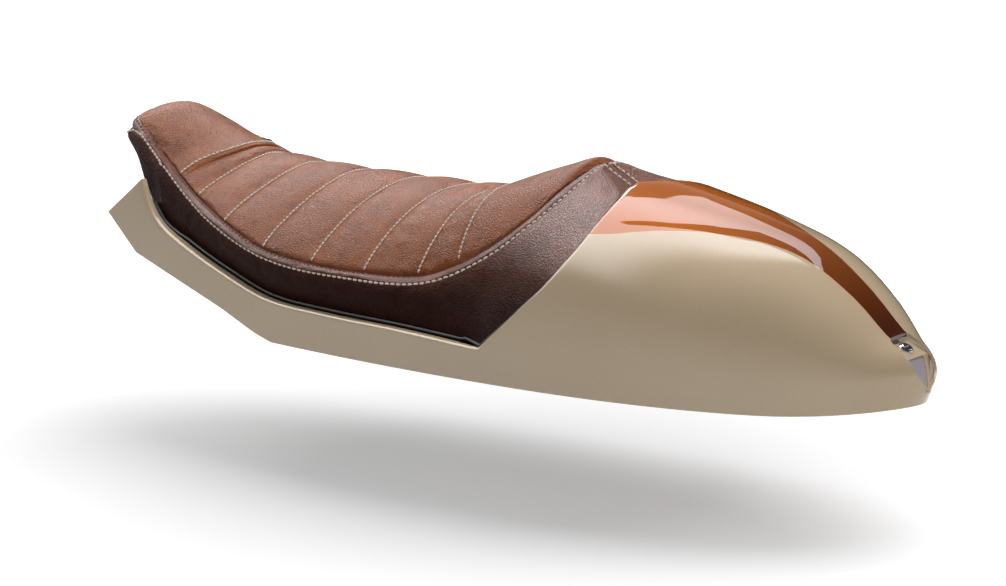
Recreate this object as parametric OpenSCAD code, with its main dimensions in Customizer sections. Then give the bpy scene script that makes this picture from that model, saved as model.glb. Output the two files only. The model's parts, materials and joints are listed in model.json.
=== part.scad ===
// Single seat and tail unit for a motorcycle.
// A moulded cowl with two forward arms carries a bonded seat deck. The pleated pad stands on
// the deck, and the pointed tail end holds a small lamp under a quarter-turn fastener.
// The length runs along X, from the nose at -X to the tail at +X, and +Z is up.
// A station is a length along the unit, measured back from the tips of the arms.

/* [Cowl] */
// Length from the arm tips to the end of the tail
cowl_l = 753; // [736:1:775]
// Half of the greatest width, beside the rider
cowl_hw = 128; // [122:1:134]
// Half of the width at the arm tips
tip_hw = 86; // [82:1:90]
// Wall of the laminate
wall = 3; // [2.5:0.1:3.5]
// Height of the hump just behind the pad
hump_h = 148; // [143:1:152]
// Width of the rolled lip on top of the arms
lip_w = 8.5; // [7.5:0.1:10]

/* [Pad] */
// How far the nose of the pad reaches in front of the arm tips
nose_over = 23; // [20:1:26]
// Height of the stop at the back of the pad
stop_h = 158; // [155:1:164]
// Height of the pleated part along the middle
sit_h = 125; // [121:1:129]
// Depth of the pleat seams
pleat_depth = 3; // [1:0.5:4]
// Thickness of the leather with its backing
leather_t = 2.5; // [1.5:0.1:3.5]
// Thickness of the base pan of the pad
pan_t = 3; // [2:0.1:4]

/* [Deck and frame mounts] */
// Thickness of the bonded seat deck
deck_t = 3; // [2.5:0.1:4]
// Height of the flat part of the deck above the lower edge
deck_z = 16.5; // [16:0.1:18]
// Distance between the mounting inserts along the unit
mount_x = 140; // [120:1:150]
// Distance between the mounting inserts across the unit
mount_y = 170; // [150:1:180]
// Radius of the drilled bore of a mounting insert, for an M8 thread
insert_bore_r = 3.4; // [2.6:0.1:4]
// Depth of that bore
insert_depth = 8; // [6:0.5:9]
// Diameter of a rubber frame bumper
bumper_d = 30; // [24:1:34]
// Height of a rubber frame bumper
bumper_h = 10; // [8:0.5:11]
// Radius of the studs that hold the pad
stud_r = 3; // [2.5:0.1:3.5]
// Width of the front hook
hook_w = 50; // [40:1:60]
// Free height between the front hook and the deck
hook_gap = 6.5; // [5:0.5:7]

/* [Tail lamp and fastener] */
// Half of the width of the slot for the lamp
slot_hw = 13.5; // [13:0.1:14.5]
// Slope of the lamp's ledge in degrees
ledge_tilt = 30; // [26:1:33]
// Radius of the head of the quarter-turn fastener
head_r = 4.2; // [3.6:0.1:4.4]
// Radius of its cup washer
cup_r = 6; // [5.8:0.1:6.4]
// Radius of its shank
shank_r = 2.5; // [2:0.1:2.8]
// Thickness of the lamp lens
lens_t = 2.2; // [1.6:0.1:2.6]

/* [Hidden] */

$fn = 48;
// Clearance between neighbouring pieces
gap = 0.3;
// Middle of the unit between the nose and the end of the tail, which the lamp's notch shortens
tail_cut = 2.4;
mid_s = (cowl_l - tail_cut - nose_over) / 2;
// Station of the greatest width, and of the low rear corners of the pad
wide_at = 404;
hump_at = 420;

shell_color = "#cfc5b3";
leather_color = "#8a4a32";
side_color = "#5a2c20";
steel_color = "#b9bcc0";
black_color = "#1d1d1f";

// ---- curves ----

function lerp(a, b, t) = a + (b - a) * t;
function unit(v) = v / norm(v);
function mirror_y(p) = [p[0], -p[1], p[2]];
function clamp(x, lo, hi) = min(hi, max(lo, x));

// Smooth curve through a list of [position, value], value a number or a point
function seg(c, x, i = 0) = i >= len(c) - 2 || x < c[i + 1][0] ? i : seg(c, x, i + 1);
function grad(c, i) =
    let(a = max(0, i - 1), b = min(len(c) - 1, i + 1))
    (c[b][1] - c[a][1]) / (c[b][0] - c[a][0]);
function curve(c, x) =
    let(
        i = seg(c, x),
        h = c[i + 1][0] - c[i][0],
        t = clamp((x - c[i][0]) / h, 0, 1),
        m0 = grad(c, i) * h,
        m1 = grad(c, i + 1) * h
    )
    c[i][1] * (2 * t * t * t - 3 * t * t + 1) + m0 * (t * t * t - 2 * t * t + t)
        + c[i + 1][1] * (3 * t * t - 2 * t * t * t) + m1 * (t * t * t - t * t);

// ---- form of the cowl ----

// Half-width in plan at station s, with the surface set in by t and the tail shortened by b
function plan(s, t = 0, b = 0) =
    s < wide_at
        ? tip_hw - t + (cowl_hw - tip_hw) * sin(90 * max(0, s) / wide_at)
        : (cowl_hw - t) * pow(max(0, 1 - pow((s - wide_at) / (cowl_l - 1.5 * t - b - wide_at), 2.4)), 0.6);

// Top of the arms, from the horn beside the nose to the low rear corner
arm_line = [
    [40, 112], [49, 95], [64, 79], [97, 64], [145, 48], [195, 35], [262, 32], [337, 31],
    [hump_at, 27]
];
function arm_top(s) = curve(arm_line, s);
// Inner face of the lip on top of an arm
function lip_in(s) = side(s, arm_top(s)) - lip_w;
function low_edge(s) =
    s < 202
        ? lookup(s, [[36, 50], [92, 34], [142, 19.5], [182, 5], [202, 0]])
        : 0.0005 * pow(max(0, s - cowl_l + 106), 2);

// Crown of the hump, carried forward over the arms to give the lean of their sides
crown_line = [
    [0, hump_h + 42], [hump_at, hump_h], [hump_at + 60, hump_h - 2],
    [hump_at + 90, hump_h - 6], [cowl_l - 165, hump_h - 21], [cowl_l - 106, hump_h - 38],
    [cowl_l - 63, hump_h - 65], [cowl_l - 33, hump_h - 91.5], [cowl_l - 19, hump_h - 98.5],
    [cowl_l - 8, hump_h - 104.5], [cowl_l, hump_h - 111]
];
function crown(s) = curve(crown_line, s);
function power(s) = lookup(s, [[hump_at, 3.2], [cowl_l - 33, 2.4]]);
// Half-width at station s and height z, with the surface set in by t
function side(s, z, t = 0, b = 0) =
    plan(s, t, b) * pow(max(0.0005, 1 - pow(max(0, z) / (crown(s) - t), 3)), 1 / power(s));
// A point of the hump at station s and angle a around its section
function arch(s, a, t = 0, b = 0) =
    let(top = crown(s) - t, z = lerp(low_edge(s), top, pow(sin(a), 2 / 3)))
    [s, plan(s, t, b) * pow(max(0, 1 - pow(z / top, 3)), 1 / power(s)), z];

// Front edge of the hump by the angle around its section
low_a = 4.5;
edge_line = [
    [low_a, hump_at], [10.5, hump_at + 21.5], [17, hump_at + 39], [24, hump_at + 54.5],
    [33, hump_at + 67], [45, hump_at + 77], [62, hump_at + 80.5], [75, hump_at + 77],
    [83, hump_at + 70], [90, hump_at + 60]
];
function edge_s(a) = curve(edge_line, a);

// ---- closed skins ----

module solid_of(pts, faces) {
    polyhedron(points = [for (p = pts) [p[0] - mid_s, p[1], p[2]]], faces = faces, convexity = 8);
}

function quad(a, b, c, d) = [[a, b, c], [a, c, d]];

// Solid between two grids of points with the same rows and columns
module between(outer, inner) {
    r = len(outer);
    c = len(outer[0]);
    n = r * c;
    pts = concat([for (row = outer) each row], [for (row = inner) each row]);
    solid_of(pts, concat(
        [for (i = [0:r - 2], j = [0:c - 2])
            each quad(i * c + j, i * c + j + 1, (i + 1) * c + j + 1, (i + 1) * c + j)],
        [for (i = [0:r - 2], j = [0:c - 2])
            each quad(n + i * c + j, n + (i + 1) * c + j, n + (i + 1) * c + j + 1, n + i * c + j + 1)],
        [for (i = [0:r - 2])
            each quad(i * c, (i + 1) * c, n + (i + 1) * c, n + i * c)],
        [for (i = [0:r - 2])
            each quad(n + i * c + c - 1, n + (i + 1) * c + c - 1, (i + 1) * c + c - 1, i * c + c - 1)],
        [for (j = [0:c - 2]) each quad(j + 1, j, n + j, n + j + 1)],
        [for (j = [0:c - 2])
            each quad((r - 1) * c + j, (r - 1) * c + j + 1, n + (r - 1) * c + j + 1, n + (r - 1) * c + j)]
    ));
}

// Solid through closed rings, with a point in the middle of each end
module tube_of(rings, first, last) {
    r = len(rings);
    c = len(rings[0]);
    pts = concat([for (row = rings) each row], [first, last]);
    solid_of(pts, concat(
        [for (i = [0:r - 2], j = [0:c - 1])
            each quad(i * c + j, i * c + (j + 1) % c, (i + 1) * c + (j + 1) % c, (i + 1) * c + j)],
        [for (j = [0:c - 1]) [r * c, (j + 1) % c, j]],
        [for (j = [0:c - 1]) [r * c + 1, (r - 1) * c + j, (r - 1) * c + (j + 1) % c]]
    ));
}

module at_station(s, y = 0, z = 0) {
    translate([s - mid_s, y, z]) children();
}

// ---- cowl ----

// Lines along the arms by share of their height, then lines by angle over the hump
arm_f = [0, 0.5, 0.72, 0.9, 1];
arm_f_in = [0, 0.5, 0.66, 0.7, 1];
hump_a = [10, 17, 26, 36, 47, 58, 69, 80, 90];
arm_n = len(arm_f);
half_n = arm_n + len(hump_a);
line_n = 2 * half_n - 1;

nose_p = [0, 0.1, 0.25, 0.45, 0.7, 1];
nose_end = 97;
arm_s = [120, 145, 170, 195, 228, 262, 300, 337, 375, 405, hump_at];
tail_v = [
    0.04, 0.1, 0.18, 0.27, 0.37, 0.47, 0.57, 0.66, 0.74, 0.81, 0.87, 0.915, 0.945, 0.97,
    0.985, 0.994, 1
];
arm_rows = len(nose_p) + len(arm_s) - 1;
row_n = arm_rows + 1 + len(tail_v);

// Side view of an arm: station and height at row i and share f of the height
function nose_at(p, f) =
    let(
        low = [lerp(36, nose_end, p), 0],
        high = [lerp(40, nose_end, p), 0],
        mid = lerp([-1, 79], [nose_end, (arm_top(nose_end) + low_edge(nose_end)) / 2], p),
        lo = [low[0], low_edge(low[0])],
        hi = [high[0], arm_top(high[0])]
    )
    f < 0.5 ? lerp(lo, mid, 2 * f) : lerp(mid, hi, 2 * f - 1);
function row_s(i) = arm_s[i - len(nose_p)];
function arm_at(i, f) =
    i < len(nose_p)
        ? nose_at(nose_p[i], f)
        : [row_s(i), lerp(low_edge(row_s(i)), arm_top(row_s(i)), f)];

// The tail's end leans back from its chin, so the low lines of the skin end sooner
chin = 13;
chin_z = 27;
function end_z(j, f) =
    lerp(low_edge(cowl_l), crown(cowl_l), pow(sin(j < arm_n ? low_a : hump_a[j - arm_n]), 2 / 3)
        * (j < arm_n ? f[j] : 1));
function chin_in(j, f) = chin * pow(max(0, 1 - end_z(j, f) / chin_z), 1.4);
function chin_at(s, j, f) = chin_in(j, f) * clamp((s - cowl_l + 90) / 70, 0, 1);
function tail_s(i, j, f, s0, t) =
    lerp(s0, cowl_l - 1.5 * t - 0.2 - chin_in(j, f), i <= arm_rows ? 0 : tail_v[i - arm_rows - 1]);
// Point of the cowl's skin at row i and line j of one side, set in by t
function skin(i, j, f, t) =
    j < arm_n
        ? (i <= arm_rows
            ? let(p = arm_at(i, f[j])) [p[0], side(p[0], p[1], t), p[1]]
            : let(
                s = tail_s(i, j, f, hump_at, t),
                z = lerp(low_edge(s), arch(s, low_a, 0)[2], f[j])
            ) [s, side(s, z, t, chin_at(s, j, f)), z])
        : let(s = tail_s(i, j, f, edge_s(hump_a[j - arm_n]), t))
            arch(s, hump_a[j - arm_n], t, chin_at(s, j, f));

function lip_t(i, j) =
    j < 3 || j >= arm_n || i > arm_rows ? wall
    : i == arm_rows ? wall + 0.5
    : i < len(nose_p) ? lerp(wall + 1.5, lip_w, min(1, 3 * nose_p[i])) : lip_w;
function cut_t(i, j) = j == arm_n - 1 && i < arm_rows ? 2 : 0;
function cowl_point(i, j, inner) =
    let(
        k = j < half_n ? j : line_n - 1 - j,
        p = inner ? skin(i, k, arm_f_in, lip_t(i, k)) : skin(i, k, arm_f, cut_t(i, k))
    )
    j < half_n ? mirror_y(p) : p;

function cowl_row(i) =
    i < arm_rows ? [for (j = [0:line_n - 1]) if (j < arm_n || j >= line_n - arm_n) j]
        : [for (j = [0:line_n - 1]) j];
function id(i, j) =
    i < arm_rows
        ? i * 2 * arm_n + (j < arm_n ? j : j - line_n + 2 * arm_n)
        : arm_rows * 2 * arm_n + (i - arm_rows) * line_n + j;

module cowl_skin() {
    n = id(row_n - 1, line_n - 1) + 1;
    last = row_n - 1;
    r = line_n - 1;
    pts = concat(
        [for (i = [0:last]) each [for (j = cowl_row(i)) cowl_point(i, j, false)]],
        [for (i = [0:last]) each [for (j = cowl_row(i)) cowl_point(i, j, true)]]
    );
    open = [for (i = [0:last - 1], j = [0:r - 1])
        if (i >= arm_rows || j < arm_n - 1 || j >= line_n - arm_n) [i, j]];
    solid_of(pts, concat(
        [for (c = open) each quad(id(c[0], c[1]), id(c[0], c[1] + 1),
            id(c[0] + 1, c[1] + 1), id(c[0] + 1, c[1]))],
        [for (c = open) each quad(n + id(c[0], c[1]), n + id(c[0] + 1, c[1]),
            n + id(c[0] + 1, c[1] + 1), n + id(c[0], c[1] + 1))],
        // lower edge
        [for (i = [0:last - 1]) each quad(id(i, 0), id(i + 1, 0), n + id(i + 1, 0), n + id(i, 0))],
        [for (i = [0:last - 1]) each quad(id(i + 1, r), id(i, r), n + id(i, r), n + id(i + 1, r))],
        // tops of the arms
        [for (i = [0:arm_rows - 1]) each quad(id(i + 1, arm_n - 1), id(i, arm_n - 1),
            n + id(i, arm_n - 1), n + id(i + 1, arm_n - 1))],
        [for (i = [0:arm_rows - 1]) each quad(id(i, line_n - arm_n), id(i + 1, line_n - arm_n),
            n + id(i + 1, line_n - arm_n), n + id(i, line_n - arm_n))],
        // front ends of the arms
        [for (j = [0:arm_n - 2]) each quad(id(0, j + 1), id(0, j), n + id(0, j), n + id(0, j + 1))],
        [for (j = [line_n - arm_n:r - 1])
            each quad(id(0, j + 1), id(0, j), n + id(0, j), n + id(0, j + 1))],
        // front edge of the hump
        [for (j = [arm_n - 1:line_n - arm_n - 1]) each quad(id(arm_rows, j + 1), id(arm_rows, j),
            n + id(arm_rows, j), n + id(arm_rows, j + 1))],
        // end of the tail
        [for (j = [1:r - 1]) [id(last, 0), id(last, j), id(last, j + 1)]],
        [for (j = [1:r - 1]) [n + id(last, 0), n + id(last, j + 1), n + id(last, j)]],
        quad(id(last, 0), id(last, r), n + id(last, r), n + id(last, 0))
    ));
}

// Outline of the lamp's boss, seen from behind, with its edge moved in by t
slot_top = 62;
slot_turn = 40;
slot_low = 14;
function slot_side(t) = [for (a = [20:20:80])
    [(slot_hw - t) * pow(cos(a), 0.8), slot_turn - (slot_turn - slot_low - 1.6 * t) * pow(sin(a), 1.2)]];
function slot_outline(t) = concat(
    [[slot_hw - t, slot_top], [slot_hw - t, slot_turn]],
    slot_side(t),
    [[0, slot_low + 1.6 * t]],
    [for (k = [3:-1:0]) [-slot_side(t)[k][0], slot_side(t)[k][1]]],
    [[t - slot_hw, slot_turn], [t - slot_hw, slot_top]]
);
// Prism of that outline between two stations
module slot_prism(s0, s1, t = 0) {
    at_station(s0) rotate([90, 0, 90]) linear_extrude(s1 - s0) polygon(slot_outline(t));
}

// The notch in the cowl flares to both sides behind the boss
slot_at = cowl_l - 31;
notch_hw = 20;
notch_z = 37;
flare = 0.4;
function notch_side(t) = [for (k = [1.35, 1, 0.75, 0.5, 0.25, 0.1])
    [notch_hw * pow(k, 0.85) - t, slot_low + 0.3 * t + (notch_z - slot_low) * k]];
function notch_outline(t) = concat(
    [[notch_side(t)[0][0], slot_top]],
    notch_side(t),
    [[0, slot_low + 0.5 * t]],
    [for (k = [5:-1:0]) [-notch_side(t)[k][0], notch_side(t)[k][1]]],
    [[-notch_side(t)[0][0], slot_top]]
);
module notch(t = 0) {
    w = slot_hw - t;
    intersection() {
        at_station(slot_at) rotate([90, 0, 90]) linear_extrude(50) polygon(notch_outline(t));
        at_station(slot_at + t) linear_extrude(slot_top)
            polygon([[0, -w], [50, -w - 50 * flare], [50, w + 50 * flare], [0, w]]);
    }
}

module tail_shell() {
    color(shell_color) difference() {
        cowl_skin();
        notch();
    }
}

// ---- deck ----

// Side view of the deck's upper face: up behind the nose, flat, then up inside the hump
deck_line = [
    [56, 66], [64, 61.5], [97, 49.5], [145, 35], [198, deck_z], [330, deck_z],
    [hump_at + 2, deck_z]
];
back_a = [7, 12, 19, 26, 36, 49, 60, 70, 76];
back_in = 3;
// Bond gap between the deck and the inside of the cowl
deck_fit = 0.8;
deck_pts = concat(
    deck_line,
    [for (a = back_a) let(p = arch(edge_s(a) + back_in, a, wall + deck_fit)) [p[0], p[2]]]
);
function deck_dir(i) =
    let(a = deck_pts[max(0, i - 1)], b = deck_pts[min(len(deck_pts) - 1, i + 1)])
    unit(b - a);
function deck_ring(i) =
    let(
        p = deck_pts[i],
        d = deck_dir(i),
        q = p + [d[1], -d[0]] * deck_t,
        yp = side(p[0], p[1], wall + deck_fit),
        yq = min(yp + 3, side(q[0], max(q[1], 0), wall + deck_fit))
    )
    [[p[0], -yp, p[1]], [p[0], yp, p[1]], [q[0], yq, q[1]], [q[0], -yq, q[1]]];

// Centre of the flat part of the deck, where the frame mounts are
mount_s = 300;
mount_spots = [for (x = [-1, 1], y = [-1, 1]) [mount_s + x * mount_x / 2, y * mount_y / 2]];
stud_spots = [for (s = [215, 385], y = [-62, 62]) [s, y]];
bumper_spots = [for (s = [262, 338], y = [-46, 46]) [s, y]];
hook_bolt_y = hook_w / 2 - 11;
hook_spots = [[222, -hook_bolt_y], [222, hook_bolt_y]];
stem_r = 4;
hook_bolt_r = 3;

module seat_deck() {
    rings = [for (i = [0:len(deck_pts) - 1]) deck_ring(i)];
    a = rings[0];
    b = rings[len(rings) - 1];
    color(shell_color) difference() {
        tube_of(rings, (a[0] + a[1] + a[2] + a[3]) / 4, (b[0] + b[1] + b[2] + b[3]) / 4);
        for (p = stud_spots)
            at_station(p[0], p[1], deck_z - deck_t - 5) cylinder(r = stud_r + 0.5, h = 20);
        for (p = bumper_spots)
            at_station(p[0], p[1], deck_z - deck_t - 5) cylinder(r = stem_r + gap, h = 20);
        for (p = hook_spots)
            at_station(p[0], p[1], deck_z - deck_t - 5) cylinder(r = hook_bolt_r + 0.3, h = 20);
    }
}

// ---- pad ----

// Rings of the pad from the front centre (0) over pleats A to H (2 to 9) to the stop (14).
// Lines of the side cover: foot, row of stitches and seam, each as station, inset, height.
function pan_z(s) = lookup(s, deck_line) + gap + pan_t;
foot_list = [46, 44, 60, 92, 131, 180, 228, 282, 335, 400];
foot_edge = [[10, 5], [11, 20], [12, 33], [13, 54], [14, 90]];
nose_foot = [28, lip_in(50) - 11.6, 107];
function foot(q) =
    q <= 1 ? lerp([34, 0, 102], nose_foot, q)
    : q < 2 ? lerp(nose_foot, [60, lip_in(60) - 3.4, arm_top(60) + 2.2], q - 1)
    : q <= 9
        ? let(s = lerp(foot_list[floor(q)], foot_list[min(9, floor(q) + 1)], q - floor(q)))
            [s, lip_in(s) - 3.4, arm_top(s) + 2.2]
    : q < 10 ? lerp(foot(9), foot_rear(10), q - 9)
    : foot_rear(q);
function foot_rear(q) =
    let(a = curve(foot_edge, q), p = arch(edge_s(a) - 1, a, wall + 1))
    [p[0], a > 89 ? 0 : p[1], p[2]];

sew_line = [
    [0, [-nose_over, 0, sit_h + 18]], [0.5, [3 - nose_over, 26, sit_h + 18]],
    [1, [-11, 41, sit_h + 17.5]], [1.4, [10, 53, sit_h + 15]], [1.7, [28, 60.5, sit_h + 5.4]],
    [2, [47, 70, sit_h - 2.7]], [3, [92, 86, sit_h - 26.8]], [4, [130, 99, sit_h - 41.4]],
    [5, [176, 109, sit_h - 55]], [6, [222, 114, sit_h - 61.3]], [7, [276, 115.5, sit_h - 62.4]],
    [8, [330, 114, sit_h - 61.4]], [9, [367, 106, sit_h - 54]], [10, [404, 92, stop_h - 66]],
    [11, [432, 73, stop_h - 40]], [12, [448, 52, stop_h - 20]], [13, [454, 30, stop_h - 7]],
    [13.5, [453.5, 14, stop_h - 1.5]], [14, [451.5, 0, stop_h - 1]]
];
seam_line = [
    [0, [7 - nose_over, 0, sit_h + 28.5]], [0.5, [10 - nose_over, 24, sit_h + 28]],
    [1, [-5, 40, sit_h + 25.6]], [1.35, [18, 49, sit_h + 12.5]], [1.7, [45, 59, sit_h - 3]],
    [2, [68, 69, sit_h - 13]], [3, [93, 79, sit_h - 23.5]], [4, [135, 95, sit_h - 37]],
    [5, [185, 106.5, sit_h - 51.4]], [6, [239, 111, sit_h - 56.6]], [7, [292, 109.5, sit_h - 57.5]],
    [8, [340, 101, sit_h - 55.5]], [9, [369, 91, sit_h - 45.5]], [10, [399, 84, stop_h - 61]],
    [11, [425, 66, stop_h - 37]], [12, [439, 45, stop_h - 17]], [13, [445.5, 22, stop_h - 6]],
    [14, [446.5, 0, stop_h - 2]]
];
// The front of the nose bulges below the row of stitches by this much
nose_push = 7;
function row_bulge(q) = lookup(q, [[0, 1], [1, 1], [2, 0]]);
function box_row(q) =
    let(
        f = foot(q),
        s = curve(sew_line, q),
        t = curve(seam_line, q),
        y = q < 0.001 ? 0 : q > 13.999 ? 0 : 1,
        base = q <= 9 && q >= 2 ? [f[0], f[1], pan_z(f[0]) + gap] : f + [-1, -y, q < 2 ? -2 : 0],
        b = row_bulge(q),
        m1 = lerp(f, s, lerp(0.3, 0.5, b)),
        m2 = lerp(f, s, lerp(0.68, 0.88, b)),
        out = [-nose_push * b, 2.4 * y * (1 - b), -2 * b]
    )
    [base, f, m1 + out * lerp(0.9, 0.3, b), m2 + out, [s[0], s[1] * y, s[2]],
        lerp(s, t, 0.5) + [-0.8 * b, 0.8 * y, 0.8], [t[0], t[1] * y, t[2]]];

// Crest of the pad along the middle
crest_line = [
    [7 - nose_over, sit_h + 28.5], [-8, sit_h + 33.5], [4, sit_h + 36], [14, sit_h + 34.5],
    [25, sit_h + 30.5], [41, sit_h + 24.5], [60, sit_h + 17], [78, sit_h + 11],
    [98, sit_h + 6.5], [126, sit_h + 3.5], [165, sit_h + 1.5], [265, sit_h], [320, sit_h],
    [350, sit_h + 3.5], [370, stop_h - 23.5], [385, stop_h - 17.5], [400, stop_h - 11.5],
    [420, stop_h - 4.3], [434, stop_h + 1.2], [441, stop_h + 2.4], [446.5, stop_h - 2]
];
function crest(s) = curve(crest_line, s);
// Roundness of the top across the pad at station s
function belly(s) = lookup(s, [
    [-16, 2], [0, 2.2], [20, 2], [45, 1.6], [93, 1.6], [184, 1.8], [290, 2.2], [368, 2.8],
    [440, 2]
]);
cross_c = [-1, -0.96, -0.88, -0.75, -0.55, -0.3, 0, 0.3, 0.55, 0.75, 0.88, 0.96, 1];
// Row of the top cover at ring q, pressed down by dip along its middle
function top_row(q, dip = 0) =
    let(t = curve(seam_line, q))
    [for (c = cross_c)
        [t[0], t[1] * c, t[2] + (crest(t[0]) - t[2] - dip) * (1 - pow(abs(c), belly(t[0])))]];

// Each cover's inner face lies towards the middle of the pad
function core(p) =
    [clamp(p[0], 50, 425), 0, lookup(p[0], [[50, 118], [100, 76], [200, 45], [350, 45], [425, 76]])];
function sink(p, t) = p + unit(core(p) - p) * t;
function sink_all(g, t) = [for (row = g) [for (p = row) sink(p, t)]];

side_q = concat(
    [0, 0.35, 0.7, 0.9, 1, 1.1, 1.3, 1.6, 2], [for (q = [2.5:0.5:9]) q],
    [9.33, 9.66, 10, 10.5, 11, 11.5, 12, 12.5, 13, 13.4, 13.7, 13.9, 14]
);
module side_cover(left) {
    rows = [for (q = side_q) [for (p = box_row(q)) q == 0 || q == 14 ? p + [0, gap / 2, 0] : p]];
    outer = sink_all(rows, 0.1);
    inner = sink_all(rows, 0.1 + leather_t);
    lifted = [for (i = [0:len(rows) - 1]) [for (k = [0:len(rows[0]) - 1])
        k == 0 ? [inner[i][k][0], inner[i][k][1], outer[i][k][2]] : inner[i][k]]];
    kept = [for (row = lifted) [for (p = row) [p[0], max(gap / 2, p[1]), p[2]]]];
    if (left) between(
        [for (r = outer) [for (p = r) mirror_y(p)]],
        [for (r = kept) [for (p = r) mirror_y(p)]]);
    else between([for (i = [len(outer) - 1:-1:0]) outer[i]], [for (i = [len(kept) - 1:-1:0]) kept[i]]);
}

// Top covers stop short of the side seam, and of each other by half a clearance
seam_gap = 1.6;
function trim(row, d) =
    [for (p = row) [p[0] + d, p[1] * (1 - seam_gap / max(3, abs(row[0][1]))), p[2]]];
module top_cover(qs, dips) {
    rows = [for (i = [0:len(qs) - 1])
        trim(top_row(qs[i], dips[i]), i == 0 ? gap / 2 : i == len(qs) - 1 ? -gap / 2 : 0)];
    lift = [for (row = rows) [for (p = row) p + [0, 0, 0.3]]];
    between(lift, sink_all(lift, leather_t));
}

function pleat_dip(q) = pleat_depth * pow(abs(cos(180 * q)), 6);

module nose_cover() {
    color(leather_color) top_cover(
        [0.1, 0.3, 0.6, 0.85, 1, 1.12, 1.25, 1.4, 1.6, 1.8, 1.92, 2],
        [0, 0, 0, 0, 0, 0, 0, 0, 0, 0, 1, pleat_depth]);
}
module pleated_cover() {
    qs = [for (q = [2:0.2:9.01]) q];
    color(leather_color) top_cover(qs, [for (q = qs) pleat_dip(q)]);
}
module stop_cover() {
    color(leather_color) top_cover([9, 9.1, 9.3, 9.6, 10, 10.5, 11, 11.5, 12, 12.5, 13, 13.4],
        [pleat_depth, 1, 0, 0, 0, 0, 0, 0, 0, 0, 0, 0]);
}
module side_cover_left() {
    color(side_color) side_cover(true);
}
module side_cover_right() {
    color(side_color) side_cover(false);
}

// Foam between the pan and the covers
function foam_in(q) =
    leather_t + lookup(q, [
        [1, 6.3], [1.4, 12], [1.9, 12], [2.3, 8], [3, 6.3], [3.5, 6.3], [6, 3.4], [7.5, 5.5],
        [10.5, 5.5], [11.5, 3]
    ]);
function foam_ring(q) =
    let(
        b = box_row(q),
        t = top_row(q, pleat_depth * 0.8),
        d = foam_in(q),
        up = [0, 0, q < 2 ? 7 : 0],
        low = q >= 2 && q <= 9 ? [b[0][0], b[0][1] - d, b[0][2]] : sink(b[0], d) + up,
        side = d + lookup(q, [[1.6, 0], [1.9, 5], [2.1, 5], [2.4, 0]]),
        half = concat([low, sink(b[1], d) + up], [for (k = [2:5]) sink(b[k], k > 3 ? side : d)])
    )
    concat(
        [for (p = half) mirror_y(p)],
        [for (k = [1:len(t) - 2]) sink(t[k], d)],
        [for (k = [len(half) - 1:-1:0]) half[k]]
    );
module foam_core() {
    qs = concat([1.1, 1.3, 1.6, 1.8], [for (q = [2:0.25:11]) q], [11.5, 12, 12.5, 13]);
    color("#d8c98f") tube_of(
        [for (q = qs) foam_ring(q)], [-2, 0, sit_h + 8], [462, 0, stop_h - 14]);
}

// Pan on the deck, as wide as the foot of the side covers
module seat_pan() {
    all = concat([for (p = deck_line) if (p[0] < hump_at - 30) p], [[hump_at - 16, deck_z]]);
    function edge(s) = lip_in(s) - 2.2;
    rings = [for (p = all)
        [[p[0], -edge(p[0]), p[1] + gap], [p[0], -edge(p[0]), p[1] + gap + pan_t],
            [p[0], edge(p[0]), p[1] + gap + pan_t], [p[0], edge(p[0]), p[1] + gap]]];
    a = rings[0];
    b = rings[len(rings) - 1];
    color(black_color) difference() {
        tube_of(rings, (a[0] + a[1] + a[2] + a[3]) / 4, (b[0] + b[1] + b[2] + b[3]) / 4);
        for (p = stud_spots) at_station(p[0], p[1], deck_z - 5) cylinder(r = stud_r + 0.3, h = 20);
        for (p = stud_spots)
            at_station(p[0], p[1], deck_z + gap + pan_t - flange_t - 0.1) cylinder(r = flange_r + gap, h = 5);
        for (p = bumper_spots) at_station(p[0], p[1], deck_z - 5) cylinder(r = stem_r + 3, h = 20);
        for (p = hook_spots) at_station(p[0], p[1], deck_z - 5) cylinder(r = 9, h = 20);
    }
}

// Rubber strip between the pad and the lips of the arms
module edge_seal() {
    stations = concat([for (k = [2:5]) lerp(40, nose_end, nose_p[k])], [for (s = arm_s) if (s < 390) s]);
    function ring(s, y) =
        let(w = lip_in(s) - gap - 0.2, z = arm_top(s))
        [[s, y * (w - 2.4), z - 5], [s, y * (w - 2.4), z + 1.4], [s, y * w, z + 1.4], [s, y * w, z - 5]];
    color(black_color) for (y = [-1, 1]) {
        rings = [for (s = stations) y < 0 ? [for (k = [3:-1:0]) ring(s, y)[k]] : ring(s, y)];
        a = rings[0];
        b = rings[len(rings) - 1];
        tube_of(rings, (a[0] + a[2]) / 2, (b[0] + b[2]) / 2);
    }
}

// ---- fixings of the pad ----

flange_r = 9;
flange_t = 1.2;
washer_t = 1.2;
nut_h = 5;
nut_r = stud_r * 1.92;
deck_low = deck_z - deck_t;

module pan_studs() {
    color(steel_color) for (p = stud_spots) {
        at_station(p[0], p[1], deck_z + gap + pan_t - flange_t) cylinder(r = flange_r, h = flange_t);
        at_station(p[0], p[1], deck_low - washer_t - nut_h - 1.5)
            cylinder(r = stud_r, h = deck_t + gap + pan_t - flange_t / 2 + washer_t + nut_h + 1.5);
    }
}
module pan_washers() {
    color(steel_color) for (p = stud_spots) at_station(p[0], p[1], deck_low - washer_t) difference() {
        cylinder(r = stud_r * 2.2, h = washer_t);
        translate([0, 0, -1]) cylinder(r = stud_r + 0.2, h = washer_t + 2);
    }
}
module pan_nuts() {
    color(steel_color) for (p = stud_spots) at_station(p[0], p[1], deck_low - washer_t - nut_h) difference() {
        cylinder(r = nut_r, h = nut_h, $fn = 6);
        translate([0, 0, -1]) cylinder(r = stud_r + 0.1, h = nut_h + 2);
    }
}

// ---- frame mounts ----

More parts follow.
